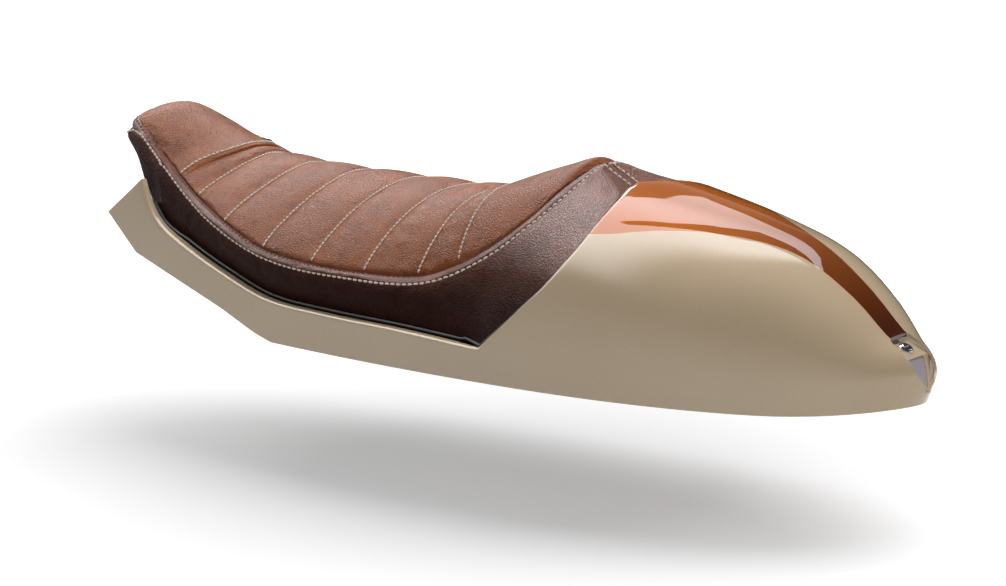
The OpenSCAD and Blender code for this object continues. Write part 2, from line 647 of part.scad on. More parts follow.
insert_flange_r = 14;
insert_flange_t = 1.5;
module mount_inserts() {
    color(steel_color) for (p = mount_spots) at_station(p[0], p[1], deck_low - insert_depth - 1) difference() {
        union() {
            cylinder(r = insert_bore_r + 3.6, h = insert_depth + 1);
            translate([0, 0, insert_depth + 1 - insert_flange_t])
                cylinder(r = insert_flange_r, h = insert_flange_t);
        }
        translate([0, 0, -1]) cylinder(r = insert_bore_r, h = insert_depth + 1);
    }
}
module frame_bumpers() {
    color(black_color) for (p = bumper_spots) {
        at_station(p[0], p[1], deck_low - bumper_h) {
            cylinder(r1 = bumper_d / 2 - 1, r2 = bumper_d / 2, h = 1);
            translate([0, 0, 1]) cylinder(r = bumper_d / 2, h = bumper_h - 1);
            cylinder(r = stem_r, h = bumper_h + deck_t);
        }
    }
}
hook_t = 3;
hook_head_h = 2.5;
hook_nut_h = 4;
// Length of the hook's foot under the deck and of its tongue
hook_foot = 32;
hook_tongue = 27;
module front_hook() {
    low = deck_low - hook_gap - hook_t;
    color(steel_color) difference() {
        union() {
            at_station(206, -hook_w / 2, deck_low - hook_t) cube([hook_foot, hook_w, hook_t]);
            at_station(203, -hook_w / 2, low) cube([hook_t, hook_w, hook_gap + hook_t]);
            at_station(176, -hook_w / 2, low) cube([hook_tongue + hook_t, hook_w, hook_t]);
        }
        for (p = hook_spots) at_station(p[0], p[1], deck_low - 10) cylinder(r = hook_bolt_r + 0.3, h = 20);
    }
}
module hook_bolts() {
    color(steel_color) for (p = hook_spots) {
        at_station(p[0], p[1], deck_z) cylinder(r = 6, h = hook_head_h);
        at_station(p[0], p[1], deck_low - hook_t - hook_nut_h - 0.8)
            cylinder(r = hook_bolt_r, h = deck_t + hook_t + hook_nut_h + 0.8 + 1);
    }
}
module hook_nuts() {
    color(steel_color) for (p = hook_spots) at_station(p[0], p[1], deck_low - hook_t - hook_nut_h) difference() {
        cylinder(r = hook_bolt_r * 1.92, h = hook_nut_h, $fn = 6);
        translate([0, 0, -1]) cylinder(r = hook_bolt_r + 0.1, h = hook_nut_h + 2);
    }
}

// ---- tail lamp ----

// The ledge carries the fastener, whose axis stands square to the ledge
cup_s = cowl_l - 24.4;
cup_z = hump_h - 102.3;
ledge_t = 3;
face_top = [cowl_l - 16.4, cup_z - 8 * tan(ledge_tilt)];
face_low = [cowl_l - 2.8, 15];
housing_in = 0.35;
module on_ledge() {
    at_station(cup_s, 0, cup_z) rotate([0, ledge_tilt, 0]) children();
}
module below_ledge(d = 0) {
    at_station(cup_s, 0, cup_z) rotate([0, ledge_tilt, 0])
        translate([-60, -60, -160 - d]) cube([120, 120, 160]);
}
// Everything in front of the sloping plane through two points of the side view
module before(top, low, d = 0) {
    at_station(top[0] - d, 0, top[1]) rotate([0, -atan((low[0] - top[0]) / (top[1] - low[1])), 0])
        translate([-80, -60, -80]) cube([80, 120, 120]);
}
module before_face(d = 0) {
    before(face_top, face_low, d);
}
// The flared sides of the housing end a little in front of the boss
wing_top = [face_top[0] + 0.4, cup_z - 2.6];
wing_low = [face_top[0] + 7.6, 17];

// Outline of the lens in its own plane: a shield with its point down
lens_len = norm(face_low - face_top) - 4.5;
lens_hw = 10.4;
function lens_side(t) = [for (f = [0:0.125:0.875])
    [-1.6 - t - f * (lens_len - 2.6 * t), (lens_hw - t) * (1 - pow(f, 1.45))]];
module shield(t = 0) {
    polygon(concat(
        lens_side(t),
        [[-1.6 - t - lens_len + 2.6 * t, 0]],
        [for (k = [7:-1:0]) [lens_side(t)[k][0], -lens_side(t)[k][1]]]
    ));
}
// Local x runs up the lamp's face, local z points out of it
module on_face(d = 0) {
    dx = face_low[0] - face_top[0];
    dz = face_top[1] - face_low[1];
    at_station(face_top[0], 0, face_top[1]) rotate([0, 90 - atan(dx / dz), 0]) rotate([0, 0, 180])
        translate([0, 0, d]) children();
}

back_wall = lens_t + 2.4;
module lamp_housing() {
    color(shell_color) difference() {
        union() {
            intersection() {
                slot_prism(slot_at + housing_in, cowl_l + 10, housing_in);
                notch(housing_in);
                below_ledge();
                before_face();
            }
            intersection() {
                notch(housing_in);
                below_ledge();
                before(wing_top, wing_low);
                at_station(slot_at - 10, -60, -10) cube([80, 120, 70]);
            }
        }
        intersection() {
            slot_prism(slot_at - 1, cowl_l + 10, 3);
            below_ledge(ledge_t);
            before_face(back_wall);
        }
        on_face(-lens_t - 0.9) linear_extrude(10) shield(0);
        on_face(-8) linear_extrude(10) shield(1.6);
        on_ledge() translate([0, 0, -10]) cylinder(r = shank_r + 0.3, h = 20);
    }
}
module lamp_lens() {
    color("#b9a7ad") on_face(-lens_t - 0.3) linear_extrude(lens_t) shield(0.3);
}
module lamp_gasket() {
    color(black_color) on_face(-lens_t - 0.9) linear_extrude(0.6) difference() {
        shield(0.3);
        shield(1.5);
    }
}

board_t = 1.6;
// Circuit board behind the lens, with its lamps looking out
module lamp_board() {
    color("#2f5d3a") intersection() {
        on_face(-back_wall - gap - board_t) linear_extrude(board_t) shield(2.2);
        slot_prism(slot_at, cowl_l + 10, 3.4);
    }
}
led_r = 1.6;
module lamp_leds() {
    color("#e9e2d0") for (x = [-5, -9.3, -13.2]) on_face(-back_wall - gap) translate([x, 0, 0]) {
        cylinder(r = led_r, h = 1.2);
        translate([0, 0, 1.2]) cylinder(r1 = led_r, r2 = led_r * 0.6, h = 0.7);
    }
}

// ---- quarter-turn fastener ----

ring_t = 0.8;
bracket_t = 2;
plate_t = 1.2;
bracket_top = ledge_t + ring_t + 1;
bracket_hw = 8;
pin_r = 1.1;
pin_half = 5;
seat_t = 0.5;
head_h = 1.9;
rivet_x = 5.2;
rivet_y = 4.8;
rivet_r = 1;

// Ledge coordinates carried into the side view: x along the ledge, z square to it
function ledge_at(x, z) =
    [cup_s + x * cos(ledge_tilt) + z * sin(ledge_tilt), cup_z - x * sin(ledge_tilt) + z * cos(ledge_tilt)];
bracket_pts = concat(
    [for (d = [64, 52, 42]) [cowl_l - d, crown(cowl_l - d) - wall - 1.1]],
    [ledge_at(-8.5, -bracket_top), ledge_at(7.2, -bracket_top)],
    [ledge_at(7.2, -bracket_top - bracket_t), ledge_at(-9.8, -bracket_top - bracket_t)],
    [for (d = [44, 53, 65]) [cowl_l - d, crown(cowl_l - d) - wall - 3.9]]
);
// Opening for the shank and its cross pin
module pin_way(h) {
    cylinder(r = shank_r + 0.5, h = h);
    translate([-pin_r - 0.4, -pin_half - 0.5, 0]) cube([2 * pin_r + 0.8, 2 * pin_half + 1, h]);
}
module lamp_bracket() {
    color(steel_color) difference() {
        at_station(0) rotate([90, 0, 0]) translate([0, 0, -bracket_hw]) linear_extrude(2 * bracket_hw)
            polygon(bracket_pts);
        on_ledge() translate([0, 0, -bracket_top - bracket_t - 1]) pin_way(bracket_t + 2);
        for (k = [-1, 1]) on_ledge() translate([k * rivet_x, k * rivet_y, -bracket_top - bracket_t - 1])
            cylinder(r = rivet_r + 0.1, h = bracket_t + 2);
    }
}
module receptacle() {
    color(steel_color) difference() {
        on_ledge() translate([-7.2, -6.8, -bracket_top - bracket_t - plate_t]) cube([14.4, 13.6, plate_t]);
        on_ledge() translate([0, 0, -bracket_top - bracket_t - plate_t - 1]) pin_way(plate_t + 2);
        for (k = [-1, 1]) on_ledge() translate([k * rivet_x, k * rivet_y, -bracket_top - bracket_t - plate_t - 1])
            cylinder(r = rivet_r + 0.1, h = plate_t + 2);
    }
}
module receptacle_rivets() {
    color(steel_color) for (k = [-1, 1]) on_ledge() translate([k * rivet_x, k * rivet_y, 0]) {
        translate([0, 0, -bracket_top - bracket_t - plate_t]) cylinder(r = rivet_r, h = bracket_t + plate_t);
        translate([0, 0, -bracket_top]) cylinder(r = rivet_r * 1.6, h = 0.6);
        translate([0, 0, -bracket_top - bracket_t - plate_t - 0.6]) cylinder(r = rivet_r * 1.6, h = 0.6);
    }
}
module cup_washer() {
    color(steel_color) on_ledge() difference() {
        union() {
            cylinder(r = cup_r, h = seat_t + 0.4);
            translate([0, 0, seat_t + 0.4]) cylinder(r1 = cup_r, r2 = head_r + 0.9, h = 0.9);
        }
        translate([0, 0, seat_t]) cylinder(r = head_r + 0.25, h = 5);
        translate([0, 0, -1]) cylinder(r = shank_r + 0.25, h = 5);
    }
}
module fastener_stud() {
    pin_z = -bracket_top - bracket_t - plate_t - pin_r - 0.2;
    color(steel_color) on_ledge() difference() {
        union() {
            translate([0, 0, seat_t + 0.05]) cylinder(r = head_r, h = head_h - 0.5);
            translate([0, 0, seat_t + head_h - 0.45]) cylinder(r1 = head_r, r2 = head_r - 0.5, h = 0.5);
            translate([0, 0, pin_z - pin_r - 1]) cylinder(r = shank_r, h = -pin_z + pin_r + 1 + seat_t + 1);
            translate([-pin_half, 0, pin_z]) rotate([0, 90, 0]) cylinder(r = pin_r, h = 2 * pin_half);
        }
        translate([-0.6, -10, seat_t + head_h - 0.8]) cube([1.2, 20, 5]);
    }
}
module retaining_ring() {
    color(black_color) on_ledge() translate([0, 0, -ledge_t - 0.1 - ring_t]) difference() {
        cylinder(r = shank_r + 1.6, h = ring_t);
        translate([0, 0, -1]) cylinder(r = shank_r + 0.05, h = ring_t + 2);
    }
}

tail_shell();
seat_deck();
seat_pan();
foam_core();
nose_cover();
pleated_cover();
stop_cover();
side_cover_left();
side_cover_right();
edge_seal();
pan_studs();
pan_washers();
pan_nuts();
mount_inserts();
frame_bumpers();
front_hook();
hook_bolts();
hook_nuts();
lamp_housing();
lamp_lens();
lamp_gasket();
lamp_board();
lamp_leds();
lamp_bracket();
cup_washer();
fastener_stud();
retaining_ring();
receptacle();
receptacle_rivets();
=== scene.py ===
"""Dressed model of the seat and tail unit. Lengths in the drawing functions are millimetres, measured as in the
CAD: a station s back from the tips of the arms, y across and z up. row_frame() turns them into metres."""

import json
import math

import bmesh
import bpy
import numpy as np
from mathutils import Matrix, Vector

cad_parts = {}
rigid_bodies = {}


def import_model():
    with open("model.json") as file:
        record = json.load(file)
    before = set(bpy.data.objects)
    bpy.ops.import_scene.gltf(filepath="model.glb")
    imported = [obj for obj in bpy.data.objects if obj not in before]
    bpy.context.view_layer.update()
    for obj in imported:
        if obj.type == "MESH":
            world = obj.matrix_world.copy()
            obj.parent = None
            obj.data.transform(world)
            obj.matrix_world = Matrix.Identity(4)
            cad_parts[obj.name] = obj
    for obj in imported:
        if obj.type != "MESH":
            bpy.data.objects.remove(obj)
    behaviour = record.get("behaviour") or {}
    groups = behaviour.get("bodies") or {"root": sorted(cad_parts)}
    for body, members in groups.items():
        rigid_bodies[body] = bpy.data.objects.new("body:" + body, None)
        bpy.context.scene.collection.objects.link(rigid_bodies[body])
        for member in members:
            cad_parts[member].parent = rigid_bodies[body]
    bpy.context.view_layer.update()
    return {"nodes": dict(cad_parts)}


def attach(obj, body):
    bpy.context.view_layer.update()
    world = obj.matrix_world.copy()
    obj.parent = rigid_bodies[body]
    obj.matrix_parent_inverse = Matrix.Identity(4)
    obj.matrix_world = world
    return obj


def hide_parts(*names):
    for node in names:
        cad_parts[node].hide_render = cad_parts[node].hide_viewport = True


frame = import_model()
scene = bpy.context.scene

# ---- driving dimensions, as in the CAD ----

COWL_L = 753.0
COWL_HW = 128.0
TIP_HW = 86.0
WALL = 3.0
HUMP_H = 148.0
LIP_W = 8.5
NOSE_OVER = 23.0
STOP_H = 158.0
SIT_H = 125.0
WIDE_AT = 404.0
HUMP_AT = 420.0
NOSE_END = 97.0
MID_S = (COWL_L - 2.4 - NOSE_OVER) / 2


def row_frame(p):
    p = np.asarray(p, float)
    return (p - np.array([MID_S, 0.0, 0.0])) / 1000.0


# ---- curves ----


def lerp(a, b, t):
    return a + (b - a) * t


def unit(v):
    n = np.linalg.norm(v)
    return v / n if n > 1e-12 else v


def lookup(x, table):
    return float(np.interp(x, [p[0] for p in table], [p[1] for p in table]))


def curve(c, x):
    """Smooth curve through [position, value] pairs; a value is a number or a point."""
    i = 0
    while i < len(c) - 2 and x >= c[i + 1][0]:
        i += 1

    def grad(k):
        a, b = max(0, k - 1), min(len(c) - 1, k + 1)
        return (np.asarray(c[b][1], float) - np.asarray(c[a][1], float)) / (c[b][0] - c[a][0])

    h = c[i + 1][0] - c[i][0]
    t = min(1.0, max(0.0, (x - c[i][0]) / h))
    p0, p1 = np.asarray(c[i][1], float), np.asarray(c[i + 1][1], float)
    return (p0 * (2 * t**3 - 3 * t * t + 1) + grad(i) * h * (t**3 - 2 * t * t + t)
            + p1 * (3 * t * t - 2 * t**3) + grad(i + 1) * h * (t**3 - t * t))


# ---- form of the cowl ----

ARM_LINE = [[40, 112], [49, 95], [64, 79], [97, 64], [145, 48], [195, 35], [262, 32], [337, 31],
            [HUMP_AT, 27]]
LOW_LINE = [[36, 50], [92, 34], [142, 19.5], [182, 5], [202, 0]]
CROWN_LINE = [
    [0, HUMP_H + 42], [HUMP_AT, HUMP_H], [HUMP_AT + 60, HUMP_H - 2], [HUMP_AT + 90, HUMP_H - 6],
    [COWL_L - 165, HUMP_H - 21], [COWL_L - 106, HUMP_H - 38], [COWL_L - 63, HUMP_H - 65],
    [COWL_L - 33, HUMP_H - 91.5], [COWL_L - 19, HUMP_H - 98.5], [COWL_L - 8, HUMP_H - 104.5],
    [COWL_L, HUMP_H - 111],
]
LOW_A = 4.5
EDGE_LINE = [
    [LOW_A, HUMP_AT], [10.5, HUMP_AT + 21.5], [17, HUMP_AT + 39], [24, HUMP_AT + 54.5], [33, HUMP_AT + 67],
    [45, HUMP_AT + 77], [62, HUMP_AT + 80.5], [75, HUMP_AT + 77], [83, HUMP_AT + 70], [90, HUMP_AT + 60]
]
CHIN, CHIN_Z = 13.0, 27.0


def sind(a):
    return math.sin(math.radians(a))


def plan(s, t=0.0, b=0.0):
    if s < WIDE_AT:
        return TIP_HW - t + (COWL_HW - TIP_HW) * sind(90 * max(0, s) / WIDE_AT)
    far = (s - WIDE_AT) / (COWL_L - 1.5 * t - b - WIDE_AT)
    return (COWL_HW - t) * max(0.0, 1 - far**2.4) ** 0.6


def arm_top(s):
    return float(curve(ARM_LINE, s))


def low_edge(s):
    return lookup(s, LOW_LINE) if s < 202 else 0.0005 * max(0.0, s - COWL_L + 106) ** 2


def crown(s):
    return float(curve(CROWN_LINE, s))


def power(s):
    return lookup(s, [[HUMP_AT, 3.2], [COWL_L - 33, 2.4]])


def side(s, z, t=0.0, b=0.0):
    return plan(s, t, b) * max(0.0005, 1 - (max(0.0, z) / (crown(s) - t)) ** 3) ** (1 / power(s))


def arch(s, a, t=0.0, b=0.0):
    top = crown(s) - t
    z = lerp(low_edge(s), top, sind(a) ** (2 / 3))
    return np.array([s, plan(s, t, b) * max(0.0, 1 - (z / top) ** 3) ** (1 / power(s)), z])


def edge_s(a):
    return float(curve(EDGE_LINE, a))


def lip_in(s):
    return side(s, arm_top(s)) - LIP_W


def nose_at(p, f):
    low, high = lerp(36, NOSE_END, p), lerp(40, NOSE_END, p)
    lo, hi = np.array([low, low_edge(low)]), np.array([high, arm_top(high)])
    rear = np.array([NOSE_END, (arm_top(NOSE_END) + low_edge(NOSE_END)) / 2])
    mid = lerp(np.array([-1.0, 79.0]), rear, p)
    return lerp(lo, mid, 2 * f) if f < 0.5 else lerp(mid, hi, 2 * f - 1)


def skin(r, line, t=0.0):
    """Point of the cowl's skin. r runs 0..1 over the arm tip, 1..2 along the arm, 2..3 from the hump's front
    edge to the tail. line runs 0..1 up the side to the arm's top, then on over the hump as an angle."""
    over = line > 1
    if not over and r <= 2:
        if r <= 1:
            s, z = nose_at(r, line)
        else:
            s = lerp(NOSE_END, HUMP_AT, r - 1)
            z = lerp(low_edge(s), arm_top(s), line)
        return np.array([s, side(s, z, t), z])
    v = r - 2
    angle, f = (line, 1.0) if over else (LOW_A, line)
    end_z = lerp(low_edge(COWL_L), crown(COWL_L), sind(angle) ** (2 / 3) * f)
    chin = CHIN * max(0.0, 1 - end_z / CHIN_Z) ** 1.4
    start = edge_s(line) if over else HUMP_AT
    s = lerp(start, COWL_L - 1.5 * t - 0.2 - chin, v)
    b = chin * min(1.0, max(0.0, (s - COWL_L + 90) / 70))
    if over:
        return arch(s, line, t, b)
    z = lerp(low_edge(s), arch(s, LOW_A)[2], line)
    return np.array([s, side(s, z, t, b), z])


def mirrored(p):
    return p * np.array([1.0, -1.0, 1.0])


# ---- mesh helpers ----


def new_object(name, verts, faces):
    me = bpy.data.meshes.new(name)
    me.from_pydata([tuple(v) for v in verts], [], faces)
    me.update()
    ob = bpy.data.objects.new(name, me)
    scene.collection.objects.link(ob)
    return ob


def grid_faces(rows, cols, start=0, flip=False):
    out = []
    for i in range(rows - 1):
        for j in range(cols - 1):
            a = start + i * cols + j
            q = [a, a + 1, a + cols + 1, a + cols]
            out.append(q[::-1] if flip else q)
    return out


def grid_object(name, pts, flip=False):
    """A sheet through a grid of points in millimetres."""
    pts = np.asarray(pts)
    rows, cols = pts.shape[:2]
    return new_object(name, row_frame(pts.reshape(-1, 3)), grid_faces(rows, cols, flip=flip))


def add_modifier(ob, kind, **settings):
    m = ob.modifiers.new(kind.title(), kind)
    for key, value in settings.items():
        setattr(m, key, value)
    return m


def even_normals(ob, weld=None):
    """Turns all faces the same way out; with weld, joins points closer than that many metres first."""
    bm = bmesh.new()
    bm.from_mesh(ob.data)
    if weld:
        bmesh.ops.remove_doubles(bm, verts=bm.verts, dist=weld)
    bmesh.ops.recalc_face_normals(bm, faces=bm.faces)
    bm.to_mesh(ob.data)
    bm.free()


def apply_modifiers(ob):
    """Bakes the modifiers into the mesh."""
    bpy.context.view_layer.update()
    made = bpy.data.meshes.new_from_object(ob.evaluated_get(bpy.context.evaluated_depsgraph_get()))
    old = ob.data
    ob.modifiers.clear()
    ob.data = made
    bpy.data.meshes.remove(old)
    made.name = ob.name


def smooth(ob, angle=35):
    ob.data.polygons.foreach_set("use_smooth", [True] * len(ob.data.polygons))
    ob.data.set_sharp_from_angle(angle=math.radians(angle))


def face_out(ob, centre):
    """Turns the sheet's faces so that most look away from a point in millimetres."""
    c = Vector(row_frame(centre))
    me = ob.data
    facing = sum(1 if (p.center - c).dot(p.normal) > 0 else -1 for p in me.polygons)
    if facing < 0:
        me.flip_normals()


def dress(ob, material, body="seat", replaces=()):
    ob.data.materials.clear()
    ob.data.materials.append(material)
    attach(ob, body)
    if replaces:
        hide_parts(*replaces)
    return ob


# ---- materials ----


class Graph:
    """Small wrapper for building a node tree."""

    def __init__(self, tree, space="Object"):
        self.nodes, self.links = tree.nodes, tree.links
        self.coords = self.node("ShaderNodeTexCoord").outputs[space]

    def node(self, kind, **props):
        n = self.nodes.new(kind)
        for key, value in props.items():
            setattr(n, key, value)
        return n

    def link(self, a, b):
        self.links.new(a, b)

    def axes(self):
        n = self.node("ShaderNodeSeparateXYZ")
        self.link(self.coords, n.inputs[0])
        return n.outputs

    def rays(self, *kinds):
        """1 for a ray of any of these kinds, 0 for the others."""
        path = self.node("ShaderNodeLightPath").outputs
        seen = path[f"Is {kinds[0]} Ray"]
        for kind in kinds[1:]:
            seen = self.math("MAXIMUM", seen, path[f"Is {kind} Ray"])
        return seen

    def noise(self, scale, detail=4.0, roughness=0.55, distortion=0.0, coords=None):
        n = self.node("ShaderNodeTexNoise")
        n.inputs["Scale"].default_value = scale
        n.inputs["Detail"].default_value = detail
        n.inputs["Roughness"].default_value = roughness
        n.inputs["Distortion"].default_value = distortion
        self.link(coords or self.coords, n.inputs["Vector"])
        return n.outputs["Fac"]

    def cells(self, scale, feature="F1", randomness=1.0, coords=None):
        n = self.node("ShaderNodeTexVoronoi", feature=feature)
        n.inputs["Scale"].default_value = scale
        n.inputs["Randomness"].default_value = randomness
        self.link(coords or self.coords, n.inputs["Vector"])
        return n.outputs["Distance"]

    def math(self, op, *values):
        n = self.node("ShaderNodeMath", operation=op)
        for k, v in enumerate(values):
            if isinstance(v, (int, float)):
                n.inputs[k].default_value = v
            else:
                self.link(v, n.inputs[k])
        return n.outputs[0]

    def ramp(self, source, stops):
        n = self.node("ShaderNodeValToRGB")
        while len(n.color_ramp.elements) < len(stops):
            n.color_ramp.elements.new(0.5)
        for e, (pos, color) in zip(n.color_ramp.elements, stops):
            e.position = pos
            e.color = (*color, 1) if len(color) == 3 else color
        self.link(source, n.inputs["Fac"])
        return n.outputs["Color"]

    def span(self, source, lo, hi, out_lo=0.0, out_hi=1.0, ease="LINEAR"):
        n = self.node("ShaderNodeMapRange", interpolation_type=ease)
        for k, v in zip(("From Min", "From Max", "To Min", "To Max"), (lo, hi, out_lo, out_hi)):
            n.inputs[k].default_value = v
        self.link(source, n.inputs["Value"])
        return n.outputs["Result"]

    def mix(self, fac, a, b, blend="MIX"):
        n = self.node("ShaderNodeMix", data_type="RGBA", blend_type=blend)
        for k, v in (("Factor", fac), ("A", a), ("B", b)):
            kind = "VALUE" if k == "Factor" else "RGBA"
            socket = next(i for i in n.inputs if i.name == k and i.type == kind)
            if isinstance(v, (int, float)):
                socket.default_value = v
            elif isinstance(v, tuple):
                socket.default_value = (*v, 1)
            else:
                self.link(v, socket)
        return next(o for o in n.outputs if o.type == "RGBA")


class Shader(Graph):
    """A principled material; its sockets are given by name, with _ for a space."""

    def __init__(self, name, **sockets):
        self.mat = bpy.data.materials.new(name)
        self.mat.use_nodes = True
        super().__init__(self.mat.node_tree)
        self.bsdf = self.nodes["Principled BSDF"]
        for key, value in sockets.items():
            self.bsdf.inputs[key.replace("_", " ")].default_value = value

    def to(self, source, socket):
        self.link(source, self.bsdf.inputs[socket])

    def bump(self, height, strength, distance, after=None):
        n = self.node("ShaderNodeBump")
        n.inputs["Strength"].default_value = strength
        n.inputs["Distance"].default_value = distance
        self.link(height, n.inputs["Height"])
        if after is not None:
            self.link(after, n.inputs["Normal"])
        self.to(n.outputs["Normal"], "Normal")
        return n.outputs["Normal"]


def srgb(r, g, b):
    """Linear colour of an sRGB colour given in 0..255."""
    def one(c):
        c /= 255
        return c / 12.92 if c <= 0.04045 else ((c + 0.055) / 1.055) ** 2.4

    return one(r), one(g), one(b)


# Half-width of the copper band by station, up to its end at the lamp
BAND_END = COWL_L - 30.4
BAND = [[425, 106], [431, 105], [509, 89], [548, 68], [587, 44], [615, 30], [646, 20], [689, 14], [719, 12],
        [COWL_L, 11]]
PINSTRIPE = 0.0011  # in metres


def paint_material():
    m = Shader("pearl_and_copper_paint", Roughness=0.5, Specular_IOR_Level=0.02, Coat_Weight=1.0,
               Coat_Roughness=0.02, Coat_IOR=1.5)
    x, y, _ = m.axes()
    along = m.span(x, (BAND[0][0] - MID_S) / 1000, (BAND[-1][0] - MID_S) / 1000)
    fc = m.node("ShaderNodeFloatCurve")
    c = fc.mapping.curves[0]
    widest, steps = 120.0, 24
    for k in range(steps + 1):
        s = lerp(BAND[0][0], BAND[-1][0], k / steps)
        at = (k / steps, float(curve(BAND, s)) / widest)
        if k in (0, steps):
            c.points[0 if k == 0 else len(c.points) - 1].location = at
        else:
            c.points.new(*at)
    fc.mapping.update()
    m.link(along, fc.inputs["Value"])
    half = m.math("MULTIPLY", fc.outputs[0], widest / 1000)
    past = m.math("SUBTRACT", m.math("ABSOLUTE", y), half)
    on_hump = m.math("MULTIPLY", m.math("GREATER_THAN", x, (HUMP_AT - 2 - MID_S) / 1000),
                     m.math("LESS_THAN", x, (BAND_END - MID_S) / 1000))
    band = m.math("MULTIPLY", m.math("LESS_THAN", past, 0.0), on_hump)
    outer = m.math("MULTIPLY", m.math("LESS_THAN", past, PINSTRIPE), on_hump)
    line = m.math("SUBTRACT", outer, band)
    flakes = m.noise(2600, 2.0, 0.5)
    cloud = m.noise(9, 2.0, 0.5)
    beige = m.mix(m.span(flakes, 0.35, 0.65), srgb(200, 177, 145), srgb(214, 192, 162))
    beige = m.mix(m.span(cloud, 0.3, 0.7, 0.0, 0.25), beige, srgb(190, 166, 134))
    copper = m.mix(m.span(flakes, 0.35, 0.65), srgb(176, 90, 3), srgb(196, 104, 9))
    copper = m.mix(m.span(x, 0.20, 0.35), copper, srgb(78, 30, 5))  # darker towards the tail
    color = m.mix(band, beige, copper)
    color = m.mix(m.math("MULTIPLY", line, 0.6), color, srgb(226, 180, 140))
    m.to(color, "Base Color")
    m.to(m.span(band, 0, 1, 0.08, 0.12), "Metallic")
    m.bump(m.noise(60, 2.0, 0.4), 0.02, 0.002)
    return m.mat


def leather_material(name, dark, mid, light, rough, grain=1.0, shade_color=None):
    """Pebbled leather with a soft gloss; painted shade darkens the creases between the pebbles.
    With a shade colour, the sheet's shade value (0 to 1) turns it from that painted shade to the usual colours."""
    m = Shader(name, Specular_IOR_Level=0.15)
    cloud = m.noise(34, 5.0, 0.6, 0.4)
    fine = m.noise(210, 5.0, 0.62)
    mottle = m.math("ADD", m.math("MULTIPLY", cloud, 0.55), m.math("MULTIPLY", fine, 0.45))
    color = m.ramp(mottle, [(0.34, dark), (0.5, mid), (0.68, light)])
    warp = m.node("ShaderNodeVectorMath", operation="ADD")
    jitter = m.node("ShaderNodeTexNoise")
    jitter.inputs["Scale"].default_value = 300
    m.link(m.coords, jitter.inputs["Vector"])
    shrink = m.node("ShaderNodeVectorMath", operation="SCALE")
    shrink.inputs["Scale"].default_value = 0.0018
    m.link(jitter.outputs["Color"], shrink.inputs[0])
    m.link(m.coords, warp.inputs[0])
    m.link(shrink.outputs[0], warp.inputs[1])
    pebble = m.cells(640, "SMOOTH_F1", coords=warp.outputs[0])
    crease = m.cells(470, "DISTANCE_TO_EDGE", coords=warp.outputs[0])
    pits = m.span(crease, 0.0, 0.25)
    # painted shade: the colour darkens in the creases between the pebbles
    color = m.mix(m.span(crease, 0.0, 0.14, 0.45, 0.0), color, tuple(c * 0.4 for c in dark))
    # painted shade: the side covers darken towards their foot, with less gloss there
    if shade_color:
        shade_tone = m.node("ShaderNodeAttribute", attribute_name="shade_tone").outputs["Fac"]
        color = m.mix(shade_tone, shade_color, color)
        m.to(m.span(shade_tone, 0.3, 1, 0.04, 0.45), "Specular IOR Level")
    m.to(color, "Base Color")
    m.to(m.span(fine, 0.3, 0.7, rough - 0.06, rough + 0.07), "Roughness")
    height = m.math("ADD", m.math("MULTIPLY", pits, 0.6), m.math("MULTIPLY", m.span(pebble, 0.6, 0.0), 0.4))
    first = m.bump(height, 0.8 * grain, 0.0006)
    m.bump(m.noise(110, 4.0, 0.6), 0.3, 0.0010, after=first)
    return m.mat


def plain_material(name, color, rough, metallic=0.0, scale=900, strength=0.15, vary=0.12, **sockets):
    m = Shader(name, Metallic=metallic, **sockets)
    n = m.noise(scale, 4.0)
    low = tuple(c * (1 - vary) for c in color)
    high = tuple(min(1.0, c * (1 + vary)) for c in color)
    m.to(m.ramp(n, [(0.35, low), (0.65, high)]), "Base Color")
    m.to(m.span(n, 0.3, 0.7, rough - 0.05, rough + 0.06), "Roughness")
    m.bump(n, strength, 0.0004)
    return m.mat


def weave_material(name, color, dark):
    """Bare woven laminate."""
    m = Shader(name, Roughness=0.5, Coat_Weight=0.3, Coat_Roughness=0.3)
    waves = []
    for axis in ("X", "Y"):
        w = m.node("ShaderNodeTexWave", wave_type="BANDS", bands_direction=axis)
        w.inputs["Scale"].default_value = 60
        w.inputs["Distortion"].default_value = 0.4
        m.link(m.coords, w.inputs["Vector"])
        waves.append(w.outputs["Fac"])
    both = m.math("MULTIPLY", waves[0], waves[1])
    m.to(m.mix(m.math("MULTIPLY", both, 0.8), dark, color), "Base Color")
    m.bump(both, 0.25, 0.0005)
    return m.mat


def brushed_material(name, color, rough, metallic=1.0):
    m = Shader(name, Metallic=metallic)
    stretch = m.node("ShaderNodeMapping")
    stretch.inputs["Scale"].default_value = (1, 14, 1)
    m.link(m.coords, stretch.inputs["Vector"])
    n = m.noise(700, 5.0, coords=stretch.outputs[0])
    m.to(m.ramp(n, [(0.3, tuple(c * 0.86 for c in color)), (0.7, color)]), "Base Color")
    m.to(m.span(n, 0.3, 0.7, rough * 0.7, rough * 1.3), "Roughness")
    m.bump(n, 0.05, 0.0002)
    return m.mat


def lens_material():
    m = Shader("smoked_lens", Roughness=0.25, Transmission_Weight=0.1, IOR=1.49, Coat_Weight=0.6,
               Coat_Roughness=0.08)
    facets = m.cells(1500, "F1", 0.3)
    m.to(m.ramp(facets, [(0.0, srgb(206, 194, 202)), (0.6, srgb(178, 165, 174))]), "Base Color")
    m.bump(facets, 0.5, 0.0004)
    return m.mat


def thread_material(name, color):
    m = Shader(name, Roughness=0.62, Sheen_Weight=0.4)
    w = m.node("ShaderNodeTexWave", wave_type="BANDS", bands_direction="DIAGONAL")
    w.inputs["Scale"].default_value = 1100
    m.link(m.coords, w.inputs["Vector"])
    m.to(m.mix(w.outputs["Fac"], tuple(c * 0.95 for c in color), color), "Base Color")
    m.bump(w.outputs["Fac"], 0.6, 0.0003)
    return m.mat


